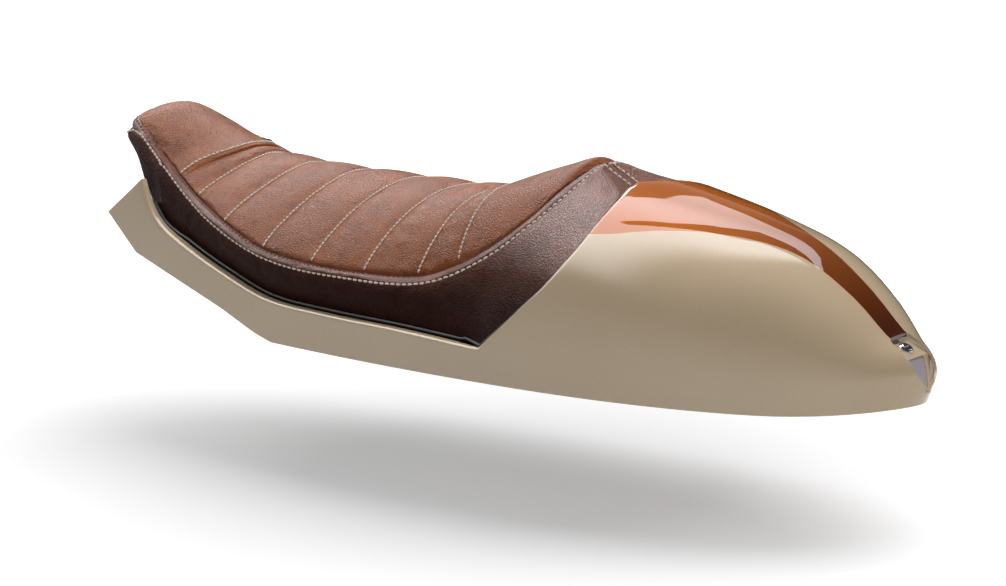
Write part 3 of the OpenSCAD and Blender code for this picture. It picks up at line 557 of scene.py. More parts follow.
paint = paint_material()
top_leather = leather_material("top_leather", srgb(120, 62, 28), srgb(151, 84, 42), srgb(180, 104, 54), 0.32)
# the side covers' darkest colour is painted shade on their lower part
side_leather = leather_material("side_leather", srgb(90, 45, 26), srgb(116, 60, 32), srgb(142, 78, 42), 0.34,
                                shade_color=srgb(46, 20, 14))
rubber = plain_material("black_rubber", srgb(24, 23, 23), 0.55)
thread = thread_material("pale_thread", srgb(255, 238, 224))
dark_thread = thread_material("dark_thread", srgb(38, 20, 16))
steel = brushed_material("zinc_steel", srgb(196, 199, 204), 0.36)
polished = brushed_material("polished_steel", srgb(226, 228, 232), 0.16)
black_steel = plain_material("black_powder_coat", srgb(34, 35, 38), 0.45, 0.2, 1500, 0.25)
laminate = weave_material("bare_laminate", srgb(150, 146, 130), srgb(112, 108, 94))
pan_plastic = plain_material("black_plastic", srgb(30, 30, 32), 0.5, 0.0, 700, 0.2)
board = plain_material("circuit_board", srgb(42, 92, 56), 0.4, 0.0, 400, 0.05)
led_resin = plain_material("led_resin", srgb(236, 228, 206), 0.2, 0.0, 900, 0.05)
lens = lens_material()

# ---- cowl ----

SIDE_F = [0, 0.06, 0.14, 0.24, 0.34, 0.43, 0.5, 0.57, 0.66, 0.76, 0.86, 1.0]
HUMP_A = [7, 10, 13, 16.5, 20, 24, 28, 32.5, 37, 42, 47, 52, 57, 62, 67, 72, 77, 81, 85.5, 90]
NOSE_R = [0, 0.06, 0.13, 0.22, 0.32, 0.44, 0.56, 0.7, 0.85, 1.0]
ARM_R = [1 + k / 40 for k in range(1, 41)]
TAIL_V = [0.018, 0.04] + [0.04 + 0.04 * k for k in range(1, 21)]
TAIL_V += [0.87, 0.895, 0.92, 0.94, 0.955, 0.968, 0.98, 0.989, 0.995, 1.0]
RIM_R = 2.6


def cowl_object():
    rows = NOSE_R + ARM_R + [2 + v for v in TAIL_V]
    arm_rows = len(NOSE_R) + len(ARM_R)  # the last of them is the hump's first row
    lines = SIDE_F + HUMP_A
    n_side, half = len(SIDE_F), len(lines)
    across = 2 * half - 1
    verts, index = [], {}

    def vert(i, j):
        if (i, j) not in index:
            k = j if j < half else across - 1 - j
            p = skin(rows[i], lines[k])
            index[i, j] = len(verts)
            verts.append(mirrored(p) if j < half else p)
        return index[i, j]

    faces = []
    for i in range(len(rows) - 1):
        for j in range(across - 1):
            over = n_side - 1 <= j < across - n_side
            if over and i < arm_rows - 1:
                continue
            faces.append([vert(i, j), vert(i, j + 1), vert(i + 1, j + 1), vert(i + 1, j)])
    last = len(rows) - 1
    faces.append([vert(last, j) for j in range(across)][::-1])
    # rolled rim along the arms' tops and the hump's front edge
    first = arm_rows - 1
    path = [(i, n_side - 1) for i in range(first)]
    path += [(first, j) for j in range(n_side - 1, across - n_side + 1)]
    path += [(i, across - n_side) for i in range(first - 1, -1, -1)]
    strips = []
    for n, (i, j) in enumerate(path):
        here = np.array(verts[vert(i, j)])
        before = np.array(verts[vert(*path[max(0, n - 1)])])
        after = np.array(verts[vert(*path[min(len(path) - 1, n + 1)])])
        tangent = unit(after - before)
        on_arm = i < first
        near = j < half
        back = np.array(verts[vert(i, j - 1 if near else j + 1)]) if on_arm else np.array(verts[vert(i + 1, j)])
        if (i, j) in ((first, n_side - 1), (first, across - n_side)):
            back = np.array(verts[vert(i + 1, j - 1 if near else j + 1)])
        out = here - back
        out = unit(out - tangent * out.dot(tangent))
        inward = unit(np.cross(tangent, out))
        middle = np.array([here[0] + (60 if not on_arm else 0), 0, 20])
        if inward.dot(middle - here) < 0:
            inward = -inward
        flange = LIP_W - RIM_R - 1.2 if on_arm else 1.0
        if on_arm:
            corner = (HUMP_AT - here[0]) / 30
            flange = lerp(1.0, flange, min(1.0, max(0.0, corner)))
            flange *= min(1.0, 0.25 + 0.75 * n / 8 if near else 0.25 + 0.75 * (len(path) - 1 - n) / 8)
        base = here - out * RIM_R
        ring = [base + out * RIM_R * sind(a) + inward * RIM_R * (1 - math.cos(math.radians(a)))
                for a in (30, 60, 90)]
        ring.append(ring[-1] + inward * flange)
        verts[vert(i, j)] = base
        strips.append([vert(i, j)] + [len(verts) + k for k in range(len(ring))])
        verts.extend(ring)
    for a, b in zip(strips, strips[1:]):
        for k in range(len(a) - 1):
            faces.append([a[k], a[k + 1], b[k + 1], b[k]])
    ob = new_object("cowl", row_frame(np.array(verts)), faces)
    even_normals(ob, weld=2e-5)
    face_out(ob, [500, 0, 30])
    add_modifier(ob, "SOLIDIFY", thickness=0.0024, offset=-1.0, use_even_offset=True)
    apply_modifiers(ob)
    return ob


# the notch behind the lamp's boss, as in the CAD
SLOT_HW, SLOT_TOP, SLOT_LOW = 13.5, 62.0, 14.0
SLOT_AT, NOTCH_HW, NOTCH_Z, FLARE = COWL_L - 31, 20.0, 37.0, 0.4


def notch_half():
    ks = [1.35 - 1.35 * i / 16 for i in range(16)]
    return [(NOTCH_HW * k**0.85, SLOT_LOW + (NOTCH_Z - SLOT_LOW) * k) for k in ks]


def notch_cutter():
    half = notch_half()
    outline = [(half[0][0], SLOT_TOP)] + half + [(0, SLOT_LOW)] + [(-y, z) for y, z in half[::-1]]
    outline.append((-half[0][0], SLOT_TOP))
    verts, faces = [], []
    for s in (SLOT_AT, SLOT_AT + 45):
        for y, z in outline:
            limit = SLOT_HW + FLARE * (s - SLOT_AT) + 0.001
            verts.append([s, max(-limit, min(limit, y)), z])
    n = len(outline)
    faces.append(list(range(n)))
    faces.append(list(range(2 * n - 1, n - 1, -1)))
    for k in range(n):
        a, b = k, (k + 1) % n
        faces.append([b, a, n + a, n + b])
    ob = new_object("notch_cutter", row_frame(np.array(verts)), faces)
    even_normals(ob)
    return ob


def make_cowl():
    ob = cowl_object()
    cutter = notch_cutter()
    add_modifier(ob, "BOOLEAN", operation="DIFFERENCE", object=cutter, solver="EXACT")
    apply_modifiers(ob)
    bpy.data.objects.remove(cutter)
    smooth(ob, 40)
    dress(ob, paint, replaces=["tail_shell"])
    return ob


# ---- pad ----

FOOT_LIST = [46, 44, 60, 92, 131, 180, 228, 282, 335, 400]
FOOT_EDGE = [[10, 5], [11, 20], [12, 33], [13, 54], [14, 90]]
SEW_LINE = [
    [0, [-NOSE_OVER, 0, SIT_H + 18]], [0.5, [3 - NOSE_OVER, 26, SIT_H + 18]],
    [1, [-11, 41, SIT_H + 17.5]], [1.4, [10, 53, SIT_H + 15]], [1.7, [28, 60.5, SIT_H + 5.4]],
    [2, [47, 70, SIT_H - 2.7]], [3, [92, 86, SIT_H - 26.8]], [4, [130, 99, SIT_H - 41.4]],
    [5, [176, 109, SIT_H - 55]], [6, [222, 114, SIT_H - 61.3]], [7, [276, 115.5, SIT_H - 62.4]],
    [8, [330, 114, SIT_H - 61.4]], [9, [367, 106, SIT_H - 54]], [10, [404, 92, STOP_H - 66]],
    [11, [432, 73, STOP_H - 40]], [12, [448, 52, STOP_H - 20]], [13, [454, 30, STOP_H - 7]],
    [13.5, [453.5, 14, STOP_H - 1.5]], [14, [451.5, 0, STOP_H - 1]]
]
SEAM_LINE = [
    [0, [7 - NOSE_OVER, 0, SIT_H + 28.5]], [0.5, [10 - NOSE_OVER, 24, SIT_H + 28]],
    [1, [-5, 40, SIT_H + 25.6]], [1.35, [18, 49, SIT_H + 12.5]], [1.7, [45, 59, SIT_H - 3]],
    [2, [68, 69, SIT_H - 13]], [3, [93, 79, SIT_H - 23.5]], [4, [135, 95, SIT_H - 37]],
    [5, [185, 106.5, SIT_H - 51.4]], [6, [239, 111, SIT_H - 56.6]], [7, [292, 109.5, SIT_H - 57.5]],
    [8, [340, 101, SIT_H - 55.5]], [9, [369, 91, SIT_H - 45.5]], [10, [399, 84, STOP_H - 61]],
    [11, [425, 66, STOP_H - 37]], [12, [439, 45, STOP_H - 17]], [13, [445.5, 22, STOP_H - 6]],
    [14, [446.5, 0, STOP_H - 2]]
]
CREST_LINE = [
    [7 - NOSE_OVER, SIT_H + 28.5], [-8, SIT_H + 33.5], [4, SIT_H + 36], [14, SIT_H + 34.5],
    [25, SIT_H + 30.5], [41, SIT_H + 24.5], [60, SIT_H + 17], [78, SIT_H + 11],
    [98, SIT_H + 6.5], [126, SIT_H + 3.5], [165, SIT_H + 1.5], [265, SIT_H], [320, SIT_H],
    [350, SIT_H + 3.5], [370, STOP_H - 23.5], [385, STOP_H - 17.5], [400, STOP_H - 11.5],
    [420, STOP_H - 4.3], [434, STOP_H + 1.2], [441, STOP_H + 2.4], [446.5, STOP_H - 2]
]
BELLY = [[-16, 2], [0, 2.2], [20, 2], [45, 1.6], [93, 1.6], [184, 1.8], [290, 2.2], [368, 2.8], [440, 2]]
NOSE_PUSH = 7.0
PLEAT_D = 3.0
DECK_LINE = [[56, 66], [64, 61.5], [97, 49.5], [145, 35], [198, 16.5], [330, 16.5], [422, 16.5]]


def foot_rear(q):
    a = float(curve(FOOT_EDGE, q))
    p = arch(edge_s(a) - 1, a, WALL + 1)
    return np.array([p[0], 0 if a > 89 else p[1], p[2]])


def foot(q):
    nose = np.array([28, lip_in(50) - 11.6, 107])
    if q <= 1:
        return lerp(np.array([34, 0, 102]), nose, q)
    if q < 2:
        return lerp(nose, np.array([60, lip_in(60) - 3.4, arm_top(60) - 1.5]), q - 1)
    if q <= 9:
        k = int(q)
        s = lerp(FOOT_LIST[k], FOOT_LIST[min(9, k + 1)], q - k)
        return np.array([s, lip_in(s) - 3.4, arm_top(s) + lookup(q, [[2, -1.5], [3, 2.2]])])
    if q < 10:
        return lerp(foot(9), foot_rear(10), q - 9)
    return foot_rear(q)


def row_bulge(q):
    return lookup(q, [[0, 1], [1, 1], [2, 0]])


def box_row(q):
    """Key points of the side cover at ring q: base, foot, two of the belly, stitch row, fold and seam."""
    f, s, t = foot(q), np.array(curve(SEW_LINE, q)), np.array(curve(SEAM_LINE, q))
    y = 0.0 if q < 0.001 or q > 13.999 else 1.0
    if 2 <= q <= 9:
        base = np.array([f[0], f[1], lookup(f[0], DECK_LINE) + 3.6])
    else:
        base = f + np.array([-1, -y, -2 - 20 * max(0.0, q - 1.2) if q < 2 else 0])
    b = row_bulge(q)
    m1, m2 = lerp(f, s, lerp(0.3, 0.5, b)), lerp(f, s, lerp(0.68, 0.88, b))
    out = np.array([-NOSE_PUSH * b, 2.4 * y * (1 - b), -2 * b])
    s, t = s * [1, y, 1], t * [1, y, 1]
    return [base, f, m1 + out * lerp(0.9, 0.3, b), m2 + out, s, lerp(s, t, 0.5) + [-0.8 * b, 0.8 * y, 0.8], t]


def crest(s):
    return float(curve(CREST_LINE, s))


def belly(s):
    return lookup(s, BELLY)


def core(p):
    return np.array([min(425, max(50, p[0])), 0,
                     lookup(p[0], [[50, 118], [100, 76], [200, 45], [350, 45], [425, 76]])])


def sink(p, t):
    return p + unit(core(p) - p) * t


# The middle of each row across the top lies this far behind its ends
BOW = [[0.9, 0], [1.4, 10], [1.9, 22], [2.4, 16], [3, 12], [4, 13], [6, 13], [7, 10], [8, 3], [9.1, -9],
       [10, -4], [11, 0]]


def top_point(q, c, dip=0.0):
    t = np.array(curve(SEAM_LINE, q))
    bow = lookup(q, BOW)
    s = t[0] + bow * max(0.0, 1 - c * c) ** (1.5 if bow > 0 else 0.8)
    return np.array([s, t[1] * c, t[2] + (crest(s) - t[2] - dip) * (1 - abs(c) ** belly(t[0]))])


def seam_ease(q):
    """Share of the seams' depth; less at the nose."""
    return lookup(q, [[0, 0.4], [1, 0.6], [1.6, 1]])


def pleat_dip(q):
    """Depth below the crest at ring q, nothing in the middle of a pleat."""
    return PLEAT_D * (1 - abs(math.sin(math.pi * q)) ** 0.66)


def puff(ob, pinned, pressure=3.0, cap=0.0016, frames=20, stiff=15.0, swell=0.006):
    """Cloth under slight pressure, held at its seams. A point moves no further than cap."""
    before = np.array([v.co for v in ob.data.vertices])
    group = ob.vertex_groups.new(name="seams")
    group.add([int(k) for k in np.nonzero(pinned)[0]], 1.0, "REPLACE")
    m = ob.modifiers.new("Cloth", "CLOTH")
    c = m.settings
    c.quality = 5
    c.mass = 0.4
    c.tension_stiffness = c.compression_stiffness = stiff
    c.shear_stiffness = stiff * 0.4
    c.bending_stiffness = 1.2
    c.use_pressure = True
    c.uniform_pressure_force = pressure
    c.shrink_min = -swell
    c.vertex_group_mass = "seams"
    c.effector_weights.gravity = 0.0
    m.collision_settings.use_collision = False
    scene.frame_start, scene.frame_end = 1, frames
    m.point_cache.frame_start, m.point_cache.frame_end = 1, frames
    for f in range(1, frames + 1):
        scene.frame_set(f)
    got = ob.evaluated_get(bpy.context.evaluated_depsgraph_get())
    after = np.array([v.co for v in got.data.vertices])
    ob.modifiers.clear()
    scene.frame_set(1)
    move = after - before
    far = np.linalg.norm(move, axis=1, keepdims=True)
    move *= np.minimum(1.0, cap / np.maximum(far, 1e-9))
    ob.data.vertices.foreach_set("co", (before + move).ravel())
    ob.data.update()
    ob.vertex_groups.clear()


def leather_sheet(name, pts, pinned, material, slot, replaces, centre, fill, shade_tone=None, **cloth):
    ob = grid_object(name, pts)
    # the painted shade values go on the sheet as a point attribute
    if shade_tone is not None:
        values = ob.data.attributes.new("shade_tone", "FLOAT", "POINT").data
        values.foreach_set("value", np.asarray(shade_tone, float).ravel())
    face_out(ob, centre)
    puff(ob, np.asarray(pinned).ravel(), **cloth)
    add_modifier(ob, "SUBSURF", levels=1, render_levels=1)
    add_modifier(ob, "SOLIDIFY", thickness=0.0014, offset=-1.0)
    apply_modifiers(ob)
    smooth(ob, 50)
    dress(ob, material, replaces=replaces)
    return ob


CROSS = 72
PAD_MIDDLE = [220, 0, 60]


def across_points():
    """Shares of the half-width from one side seam to the other, closer together at the seams."""
    return [math.copysign(abs(u) ** 0.85, u) for u in np.linspace(-1, 1, CROSS + 1)]


def top_sheet(name, qs, dips, seams, replaces, fill):
    cs = across_points()
    pts, pins = [], []
    for q, dip in zip(qs, dips):
        row, pin = [], []
        t = np.array(curve(SEAM_LINE, q))
        width = max(4.0, abs(t[1]))
        for c in cs:
            p = top_point(q, c, dip)
            edge = (1 - abs(c)) * width
            # the cover rolls down into the seam
            p = sink(p, 2.8 * max(0.0, 1 - edge / 3.0) ** 2 * seam_ease(q))
            row.append(p)
            pin.append(edge < 1.0 or any(abs(q - k) < 1e-6 for k in seams))
        pts.append(row)
        pins.append(pin)
    return leather_sheet(name, pts, pins, top_leather, "top_leather", replaces, PAD_MIDDLE, fill)


def pleat_rows(lo, hi, step):
    n = round((hi - lo) / step)
    return [lo + (hi - lo) * k / n for k in range(n + 1)]


def make_top():
    steps = pleat_rows(2, 9, 1 / 12)
    top_sheet("pleated_leather", steps, [pleat_dip(q) * lookup(q, [[2, 0.65], [2.4, 1]]) for q in steps],
              range(2, 10), ["pleated_cover", "foam_core"], 0.7)
    nose = [0.06, 0.12, 0.2] + pleat_rows(0.3, 1.9, 0.05) + [1.93, 1.96, 1.98, 2.0]
    dips = [1.6 * max(0.0, (q - 1.95) / 0.05) ** 2 + (0.5 if q == 2 else 0) for q in nose]
    top_sheet("nose_leather", nose, dips, [0.06, 2.0], ["nose_cover"], 0.8)
    stop = [9.0, 9.02, 9.05, 9.1] + pleat_rows(9.18, 13.4, 0.11) + [13.55]
    dips = [2.4 * max(0.0, (9.06 - q) / 0.06) ** 2 + (0.7 if q == 9 else 0) for q in stop]
    top_sheet("stop_leather", stop, dips, [9.0, 13.55], ["stop_cover"], 0.8)


BOX_K = [0, 0.5, 1.0] + [1 + 0.25 * k for k in range(1, 12)]
BOX_K += [3.85, 3.94, 4.0, 4.06, 4.15, 4.35, 4.6, 4.9, 5.2, 5.5, 5.75, 5.9, 6.0]


def box_point(q, k, depth=True):
    pts = box_row(q)
    p = np.array(curve([[i, v] for i, v in enumerate(pts)], k))
    if q < 0.001 or q > 13.999:
        p[1] = 0.0
    if depth:
        groove = 0.9 * max(0.0, 1 - abs(k - 4) / 0.15)
        seam = 3.0 * max(0.0, 1 - (6 - k) / 0.3) ** 2 * seam_ease(q)
        roll = -0.4 * math.sin(math.pi * ramped(k, 4.06, 1.7)) if 4.06 < k < 5.76 else 0.0
        p = sink(p, groove + seam + roll + 0.1)
    return p


def ring_steps():
    nose = list(np.linspace(0, 2, 57))
    body = list(np.linspace(2, 9, 113))[1:]
    rear = list(np.linspace(9, 14, 65))[1:]
    return nose + body + rear


def ramped(x, lo, width):
    return min(1.0, max(0.0, (x - lo) / width))


def side_shade_tone(q, k):
    """Painted shade of the side cover, from 0, darkest, at its foot to 1, unshaded, near the seam and at the
    rear.
    """
    low = lookup(q, [[0, 2.6], [3, 3.2], [8, 3.3], [9.5, 2.9], [10.5, 1.8], [11.5, 0], [12.5, -2]])
    if q < 9:
        return ramped(k, low, 1.8) * lookup(k, [[4, 0.7], [4.3, 0.85]])
    return ramped(k, low, 3.4)


def make_sides():
    for side_name, sign in (("left", -1), ("right", 1)):
        pts, pins, shade_tones = [], [], []
        for q in ring_steps():
            row, pin, shade_tone = [], [], []
            for k in BOX_K:
                p = box_point(q, k)
                if q in (0.0, 14.0):
                    p[1] = 0.1
                row.append(p * [1, sign, 1])
                pin.append(k <= 1.0 or abs(k - 4) < 0.07 or k > 5.7 or q in (0.0, 14.0))
                # painted shade value of this point
                shade_tone.append(side_shade_tone(q, k))
            pts.append(row)
            pins.append(pin)
            shade_tones.append(shade_tone)
        leather_sheet(f"side_leather_{side_name}", pts, pins, side_leather, "side_leather",
                      [f"side_cover_{side_name}"], PAD_MIDDLE, 0.8, shade_tone=shade_tones, cap=0.0012, pressure=2.0,
                      swell=0.003)


# ---- stitches ----


def resample(points, pitch):
    """Points at an even pitch along a path, with the path's direction there."""
    points = np.asarray(points)
    seg = np.linalg.norm(np.diff(points, axis=0), axis=1)
    run = np.concatenate([[0], np.cumsum(seg)])
    count = int(run[-1] / pitch)
    start = (run[-1] - count * pitch) / 2
    out = []
    for k in range(count):
        d = start + (k + 0.5) * pitch
        i = min(len(seg) - 1, int(np.searchsorted(run, d) - 1))
        f = (d - run[i]) / max(seg[i], 1e-9)
        out.append((points[i] + (points[i + 1] - points[i]) * f, unit(points[i + 1] - points[i])))
    return out


def stitch_mesh(name, rows, material, length=4.8, radius=0.9):
    """Rounded stitches, ends dipping into the leather. A row is a list of (place, direction, outward) in mm."""
    verts, faces = [], []
    rings, sides = 7, 8
    for place, along, out in rows:
        across = unit(np.cross(along, out))
        out = unit(np.cross(across, along))
        start = len(verts)
        for i in range(rings):
            u = -1 + 2 * i / (rings - 1)
            r = radius * math.sqrt(max(0.02, 1 - abs(u) ** 4))
            centre = place + along * (u * length / 2) + out * radius * (0.65 - u * u)
            for k in range(sides):
                a = 2 * math.pi * k / sides
                verts.append(centre + across * r * math.cos(a) + out * r * 0.8 * math.sin(a))
        for i in range(rings - 1):
            for k in range(sides):
                a, b = start + i * sides + k, start + i * sides + (k + 1) % sides
                faces.append([a, b, b + sides, a + sides])
        faces.append([start + k for k in range(sides)][::-1])
        faces.append([start + (rings - 1) * sides + k for k in range(sides)])
    ob = new_object(name, row_frame(np.array(verts)), faces)
    smooth(ob, 80)
    dress(ob, material)
    return ob


def on_surface(ob, place, out, reach=0.008):
    """Moves a place in mm onto the finished leather, looked for along its outward direction."""
    origin = Vector(row_frame(place + out * 4))
    hit, at, normal, _ = ob.ray_cast(origin, Vector(-out), distance=reach)
    if not hit:
        return place, out
    back = np.array(at) * 1000 + [MID_S, 0, 0]
    n = np.array(normal)
    return back, n if n.dot(out) > 0 else -n


def stitch_rows(paths, pitch, target):
    rows = []
    for path in paths:
        for place, along in resample(path, pitch):
            out = unit(place - core(place))
            place, normal = on_surface(target, place, out)
            rows.append((place, along, normal))
    return rows


def sew_path(sign):
    """The topstitch row; ahead of the nose's corner it turns down over the front."""
    path = []
    for q in np.linspace(0.02, 13.98, 420):
        k = 4 - 0.9 * min(1.0, (1.14 - q) / 0.3) if q < 1.14 else 4
        path.append(box_point(q, k, False) * [1, sign, 1])
    return path


def make_stitches():
    obs = bpy.data.objects
    for side_name, sign in (("left", -1), ("right", 1)):
        cover = obs[f"side_leather_{side_name}"]
        topstitch = stitch_rows([sew_path(sign)], 5.3, cover)
        stitch_mesh(f"topstitch_{side_name}", topstitch, thread)
        groove = [box_point(q, 5.72, False) * [1, sign, 1] for q in np.linspace(0.05, 13.8, 420)]
        stitch_mesh(f"seam_stitches_{side_name}", stitch_rows([groove], 4.6, cover), dark_thread,
                    length=2.8, radius=0.55)
        rear = [box_point(13.97, k) * [1, 0, 1] + [0, 5.5 * sign, 0] for k in np.linspace(4.0, 1.25, 40)]
        stitch_mesh(f"rear_stitches_{side_name}", stitch_rows([rear], 5.0, cover), thread,
                    length=4.4)
    quilt = [[top_point(q, c, PLEAT_D) for c in np.linspace(-0.985, 0.985, 120)] for q in range(3, 9)]
    stitch_mesh("pleat_stitches", stitch_rows(quilt, 4.0, obs["pleated_leather"]), thread, length=3.8, radius=0.8)
    for end, q in (("nose", 1.9), ("stop", 9.12)):
        path = [top_point(q, c) for c in np.linspace(-0.98, 0.98, 120)]
        stitch_mesh(f"{end}_join_stitches", stitch_rows([path], 4.0, obs[f"{end}_leather"]), thread, length=3.8,
                    radius=0.8)


# ---- rubber edge ----


def tube_object(name, path, radius, sides=12):
    """A round bead along a path in mm."""
    path = np.asarray(path)
    verts, faces = [], []
    for i, p in enumerate(path):
        tangent = unit(path[min(len(path) - 1, i + 1)] - path[max(0, i - 1)])
        out = unit(p - core(p))
        across = unit(np.cross(tangent, out))
        out = unit(np.cross(across, tangent))
        for k in range(sides):
            a = 2 * math.pi * k / sides
            verts.append(p + across * radius * math.cos(a) + out * radius * math.sin(a))
    n = len(path)
    for i in range(n - 1):
        for k in range(sides):
            a, b = i * sides + k, i * sides + (k + 1) % sides
            faces.append([a, b, b + sides, a + sides])
    faces.append(list(range(sides))[::-1])
    faces.append([(n - 1) * sides + k for k in range(sides)])
    ob = new_object(name, row_frame(np.array(verts)), faces)
    even_normals(ob)
    smooth(ob, 60)
    return ob


def make_edge():
    half = []
    for q in np.linspace(1.6, 14, 200):
        f = foot(q)
        if q <= 9:
            half.append(np.array([f[0], f[1] + 1.4, f[2] - 1.0]))
        else:
            half.append(sink(f, -0.2) if q < 14 else sink(f, -0.2) * [1, 0, 1])
    path = [mirrored(p) for p in half] + half[::-1][1:]
    ob = tube_object("edge_bead", path, 1.35)
    dress(ob, rubber, replaces=["edge_seal"])


# ---- CAD nodes that stay ----

# Each with its material and the width of its bevel in mm
KEPT = {
    "seat_deck": (laminate, 0.0), "seat_pan": (pan_plastic, 0.0), "pan_studs": (steel, 0.25),
    "pan_washers": (steel, 0.2), "pan_nuts": (steel, 0.35), "mount_inserts": (steel, 0.3),
    "frame_bumpers": (rubber, 1.0), "front_hook": (black_steel, 0.5), "hook_bolts": (steel, 0.3),
    "hook_nuts": (steel, 0.35),
    "lamp_housing": (paint, 0.6), "lamp_lens": (lens, 0.35), "lamp_gasket": (rubber, 0.0),
    "lamp_board": (board, 0.0), "lamp_leds": (led_resin, 0.1), "lamp_bracket": (steel, 0.2),
    "cup_washer": (polished, 0.18), "fastener_stud": (polished, 0.15), "retaining_ring": (rubber, 0.0),
    "receptacle": (steel, 0.15), "receptacle_rivets": (steel, 0.15),
}


def dress_cad():
    for name, (material, bevel) in KEPT.items():
        ob = frame["nodes"][name]
        if not ob.material_slots:
            ob.data.materials.append(material)
        for slot in ob.material_slots:
            slot.material = material
        if bevel:
            add_modifier(ob, "BEVEL", width=bevel / 1000, segments=2, limit_method="ANGLE",
                         angle_limit=math.radians(38))


# ---- studio ----


FLOOR_Z = -0.106
PANEL_Z = 1.5
# Outlines of the overhead reflectors, in metres, that only show as reflections in paint and leather
REFLECTORS = {
    "reflector_main": [
        (-1.75, -3.2), (-0.38, -3.2), (-0.04, -1.0), (0.04, -0.5), (0.13, 0.0), (0.20, 0.5), (0.28, 1.0),
        (0.34, 1.38), (-0.38, 1.43), (-0.37, 0.95), (-0.335, 0.3), (-0.355, 0.3), (-0.455, 0.95), (-0.61, 1.6),
        (-0.84, 2.24), (-0.35, 1.95), (0.08, 1.66), (0.25, 1.52), (0.30, 1.62), (-0.02, 1.98), (-0.5, 2.38),
        (-1.0, 2.8), (-1.6, 3.3), (-1.75, 3.45), (-1.55, 3.0), (-1.27, 2.45), (-1.02, 1.85), (-1.2, 0.6),
        (-1.75, -0.5)],
    "reflector_left": [
        (-3.2, -1.6), (-1.85, -1.6), (-1.35, 0.6), (-1.2, 1.7), (-1.53, 2.45), (-1.84, 3.0), (-2.2, 3.5),
        (-3.2, 3.5)],
}
NEAR_LEVEL = 6.2
FAR_LEVEL = {"reflector_main": 1.6, "reflector_left": 5.0}
EDGE_SLANT, SPLIT_Y = 0.165, 1.45
# Lamps that light without showing: place, size and the light they give at the object
LAMPS = {
    "key": ((0.35, 0.80, 2.1), 2.4, 0.82),
    "fill": ((1.9, -1.7, 1.0), 1.4, 0.11),
}
SKY_LEVEL = 0.24


def only_reflected(ob):
    ob.visible_camera = False
    ob.visible_diffuse = False
    ob.visible_shadow = False
    ob.visible_transmission = False


def make_flag():
    """A black flag low on the far side keeps the glare off the leather and the crown."""
    y, left, right, top = 0.9, -3.5, 0.7, 0.40
    ob = new_object("flag", [(left, y, FLOOR_Z), (right, y, FLOOR_Z), (right, y, top), (left, y, top)],
                    [[0, 1, 2, 3]])
    ob.data.materials.append(Shader("flag_black", Base_Color=(0.01, 0.01, 0.01, 1), Roughness=1.0,
                                    Specular_IOR_Level=0.0).mat)
    only_reflected(ob)


def make_reflector(name, outline):
    """An overhead sheet of light that fades to its far end, its front end and along its near edge."""
    ob = new_object(name, [(x, y, PANEL_Z) for x, y in outline], [list(range(len(outline)))])
    mat = bpy.data.materials.new(name)
    mat.use_nodes = True
    mat.node_tree.nodes.clear()
    g = Graph(mat.node_tree)
    x, y, _ = g.axes()
    level = g.span(y, -0.3, 2.6, NEAR_LEVEL, FAR_LEVEL[name])
    edge = g.span(g.math("MULTIPLY_ADD", y, -EDGE_SLANT, x), -0.25, 0.13, 1.0, 0.0, "SMOOTHSTEP")
    edge = g.math("MAXIMUM", edge, g.math("GREATER_THAN", y, SPLIT_Y))
    share = g.math("MULTIPLY", edge, g.span(y, -2.6, -0.5, 0.0, 1.0, "SMOOTHSTEP"))
    glow = g.node("ShaderNodeEmission")
    glow.inputs["Color"].default_value = (0.96, 0.97, 1.0, 1)
    g.link(g.math("MULTIPLY", share, level), glow.inputs["Strength"])
    g.link(glow.outputs[0], g.node("ShaderNodeOutputMaterial").inputs["Surface"])
    ob.data.materials.append(mat)
    only_reflected(ob)


def lamp(name, place, size, level):
    """An area lamp aimed at the object; level is the light it gives there."""
    data = bpy.data.lights.new(name, "AREA")
    data.shape = "SQUARE"
    data.size = size
    data.energy = level * (math.pi * Vector(place).length) ** 2
    ob = bpy.data.objects.new(name, data)
    scene.collection.objects.link(ob)
    ob.location = place
    ob.rotation_euler = (Vector(place) - Vector((0, 0, 0.03))).to_track_quat("Z", "Y").to_euler()
    ob.visible_camera = False
    ob.visible_glossy = False


def make_floor():
    """A pale floor that shows white to the camera, in reflections and through glass, but keeps the shadow."""
    far = 9
    ob = new_object("floor", [(-far, -far, FLOOR_Z), (far, -far, FLOOR_Z), (far, far, FLOOR_Z),
                              (-far, far, FLOOR_Z)], [[0, 1, 2, 3]])
    m = Shader("floor_white", Roughness=0.95, Base_Color=(0.70, 0.70, 0.705, 1), Specular_IOR_Level=0.0,
               Emission_Color=(1, 1, 1, 1))
    away = m.node("ShaderNodeVectorMath", operation="LENGTH")
    m.link(m.coords, away.inputs[0])
    seen = m.rays("Camera", "Glossy", "Transmission")
    m.to(m.math("MULTIPLY", seen, m.span(away.outputs["Value"], 0.20, 0.74, 0.34, 0.9)), "Emission Strength")
    ob.data.materials.append(m.mat)


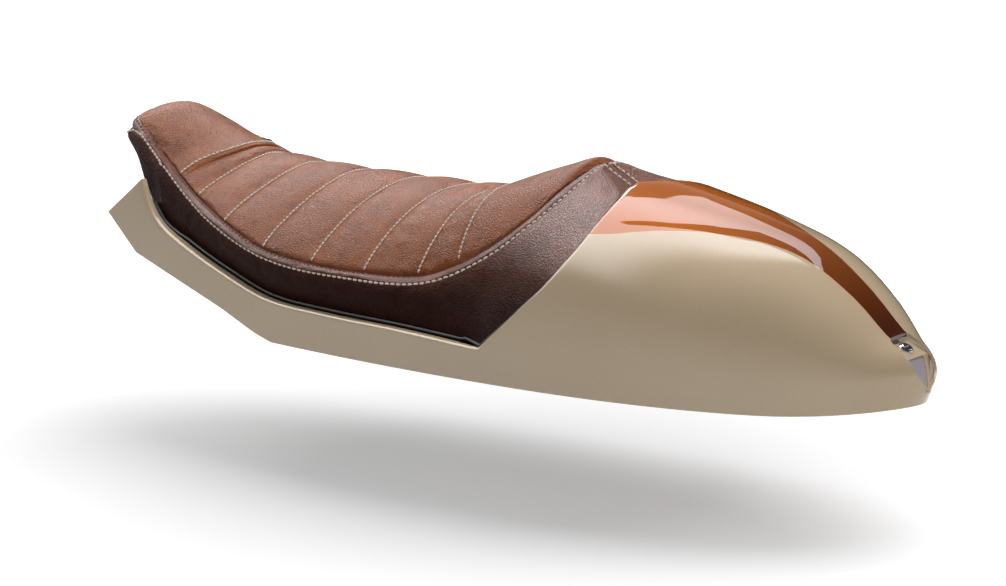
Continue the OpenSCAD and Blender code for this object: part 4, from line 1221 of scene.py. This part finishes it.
def make_world():
    world = bpy.data.worlds.new("studio")
    scene.world = world
    world.use_nodes = True
    g = Graph(world.node_tree, "Generated")

    def background(n, color, strength=1.0):
        n.inputs["Color"].default_value = (*color, 1)
        n.inputs["Strength"].default_value = strength
        return n

    def choose(factor, off, on):
        n = g.node("ShaderNodeMixShader")
        for source, socket in zip((factor, off, on), n.inputs):
            g.link(source, socket)
        return n.outputs[0]

    sky = background(g.nodes["Background"], (0.97, 0.98, 1.0), SKY_LEVEL)
    white, backdrop = (background(g.node("ShaderNodeBackground"), (1, 1, 1)) for _ in range(2))
    # glossy rays see the white backdrop near the horizon and a dim ceiling above it
    g.link(g.span(g.axes()[2], 0.0, 0.35, 1.0, 0.04), backdrop.inputs["Strength"])
    lit = choose(g.rays("Glossy"), sky.outputs[0], backdrop.outputs[0])
    seen = choose(g.rays("Camera", "Transmission"), lit, white.outputs[0])
    g.link(seen, g.nodes["World Output"].inputs["Surface"])


def make_studio():
    make_floor()
    make_world()
    make_flag()
    for name, outline in REFLECTORS.items():
        make_reflector(name, outline)
    for name, (place, size, level) in LAMPS.items():
        lamp(name, place, size, level)


AZIMUTH, ELEVATION, DISTANCE, FOCAL_PX = 37.0, 12.0, 3.42, 4248.0
PICTURE_W = 1006
AIM = [349.125, 0, 39.9]


def make_camera():
    data = bpy.data.cameras.new("camera")
    data.sensor_width = 36.0
    data.lens = FOCAL_PX / PICTURE_W * data.sensor_width
    data.clip_start, data.clip_end = 0.05, 40
    cam = bpy.data.objects.new("camera", data)
    scene.collection.objects.link(cam)
    a, e = math.radians(AZIMUTH), math.radians(ELEVATION)
    back = Vector((math.sin(a) * math.cos(e), -math.cos(a) * math.cos(e), math.sin(e)))
    target = Vector(row_frame(AIM))
    cam.location = target + back * DISTANCE
    cam.rotation_euler = (-back).to_track_quat("-Z", "Y").to_euler()
    scene.camera = cam


make_camera()
make_studio()
make_cowl()
make_top()
make_sides()
make_stitches()
make_edge()
dress_cad()
scene.view_settings.view_transform = "Standard"
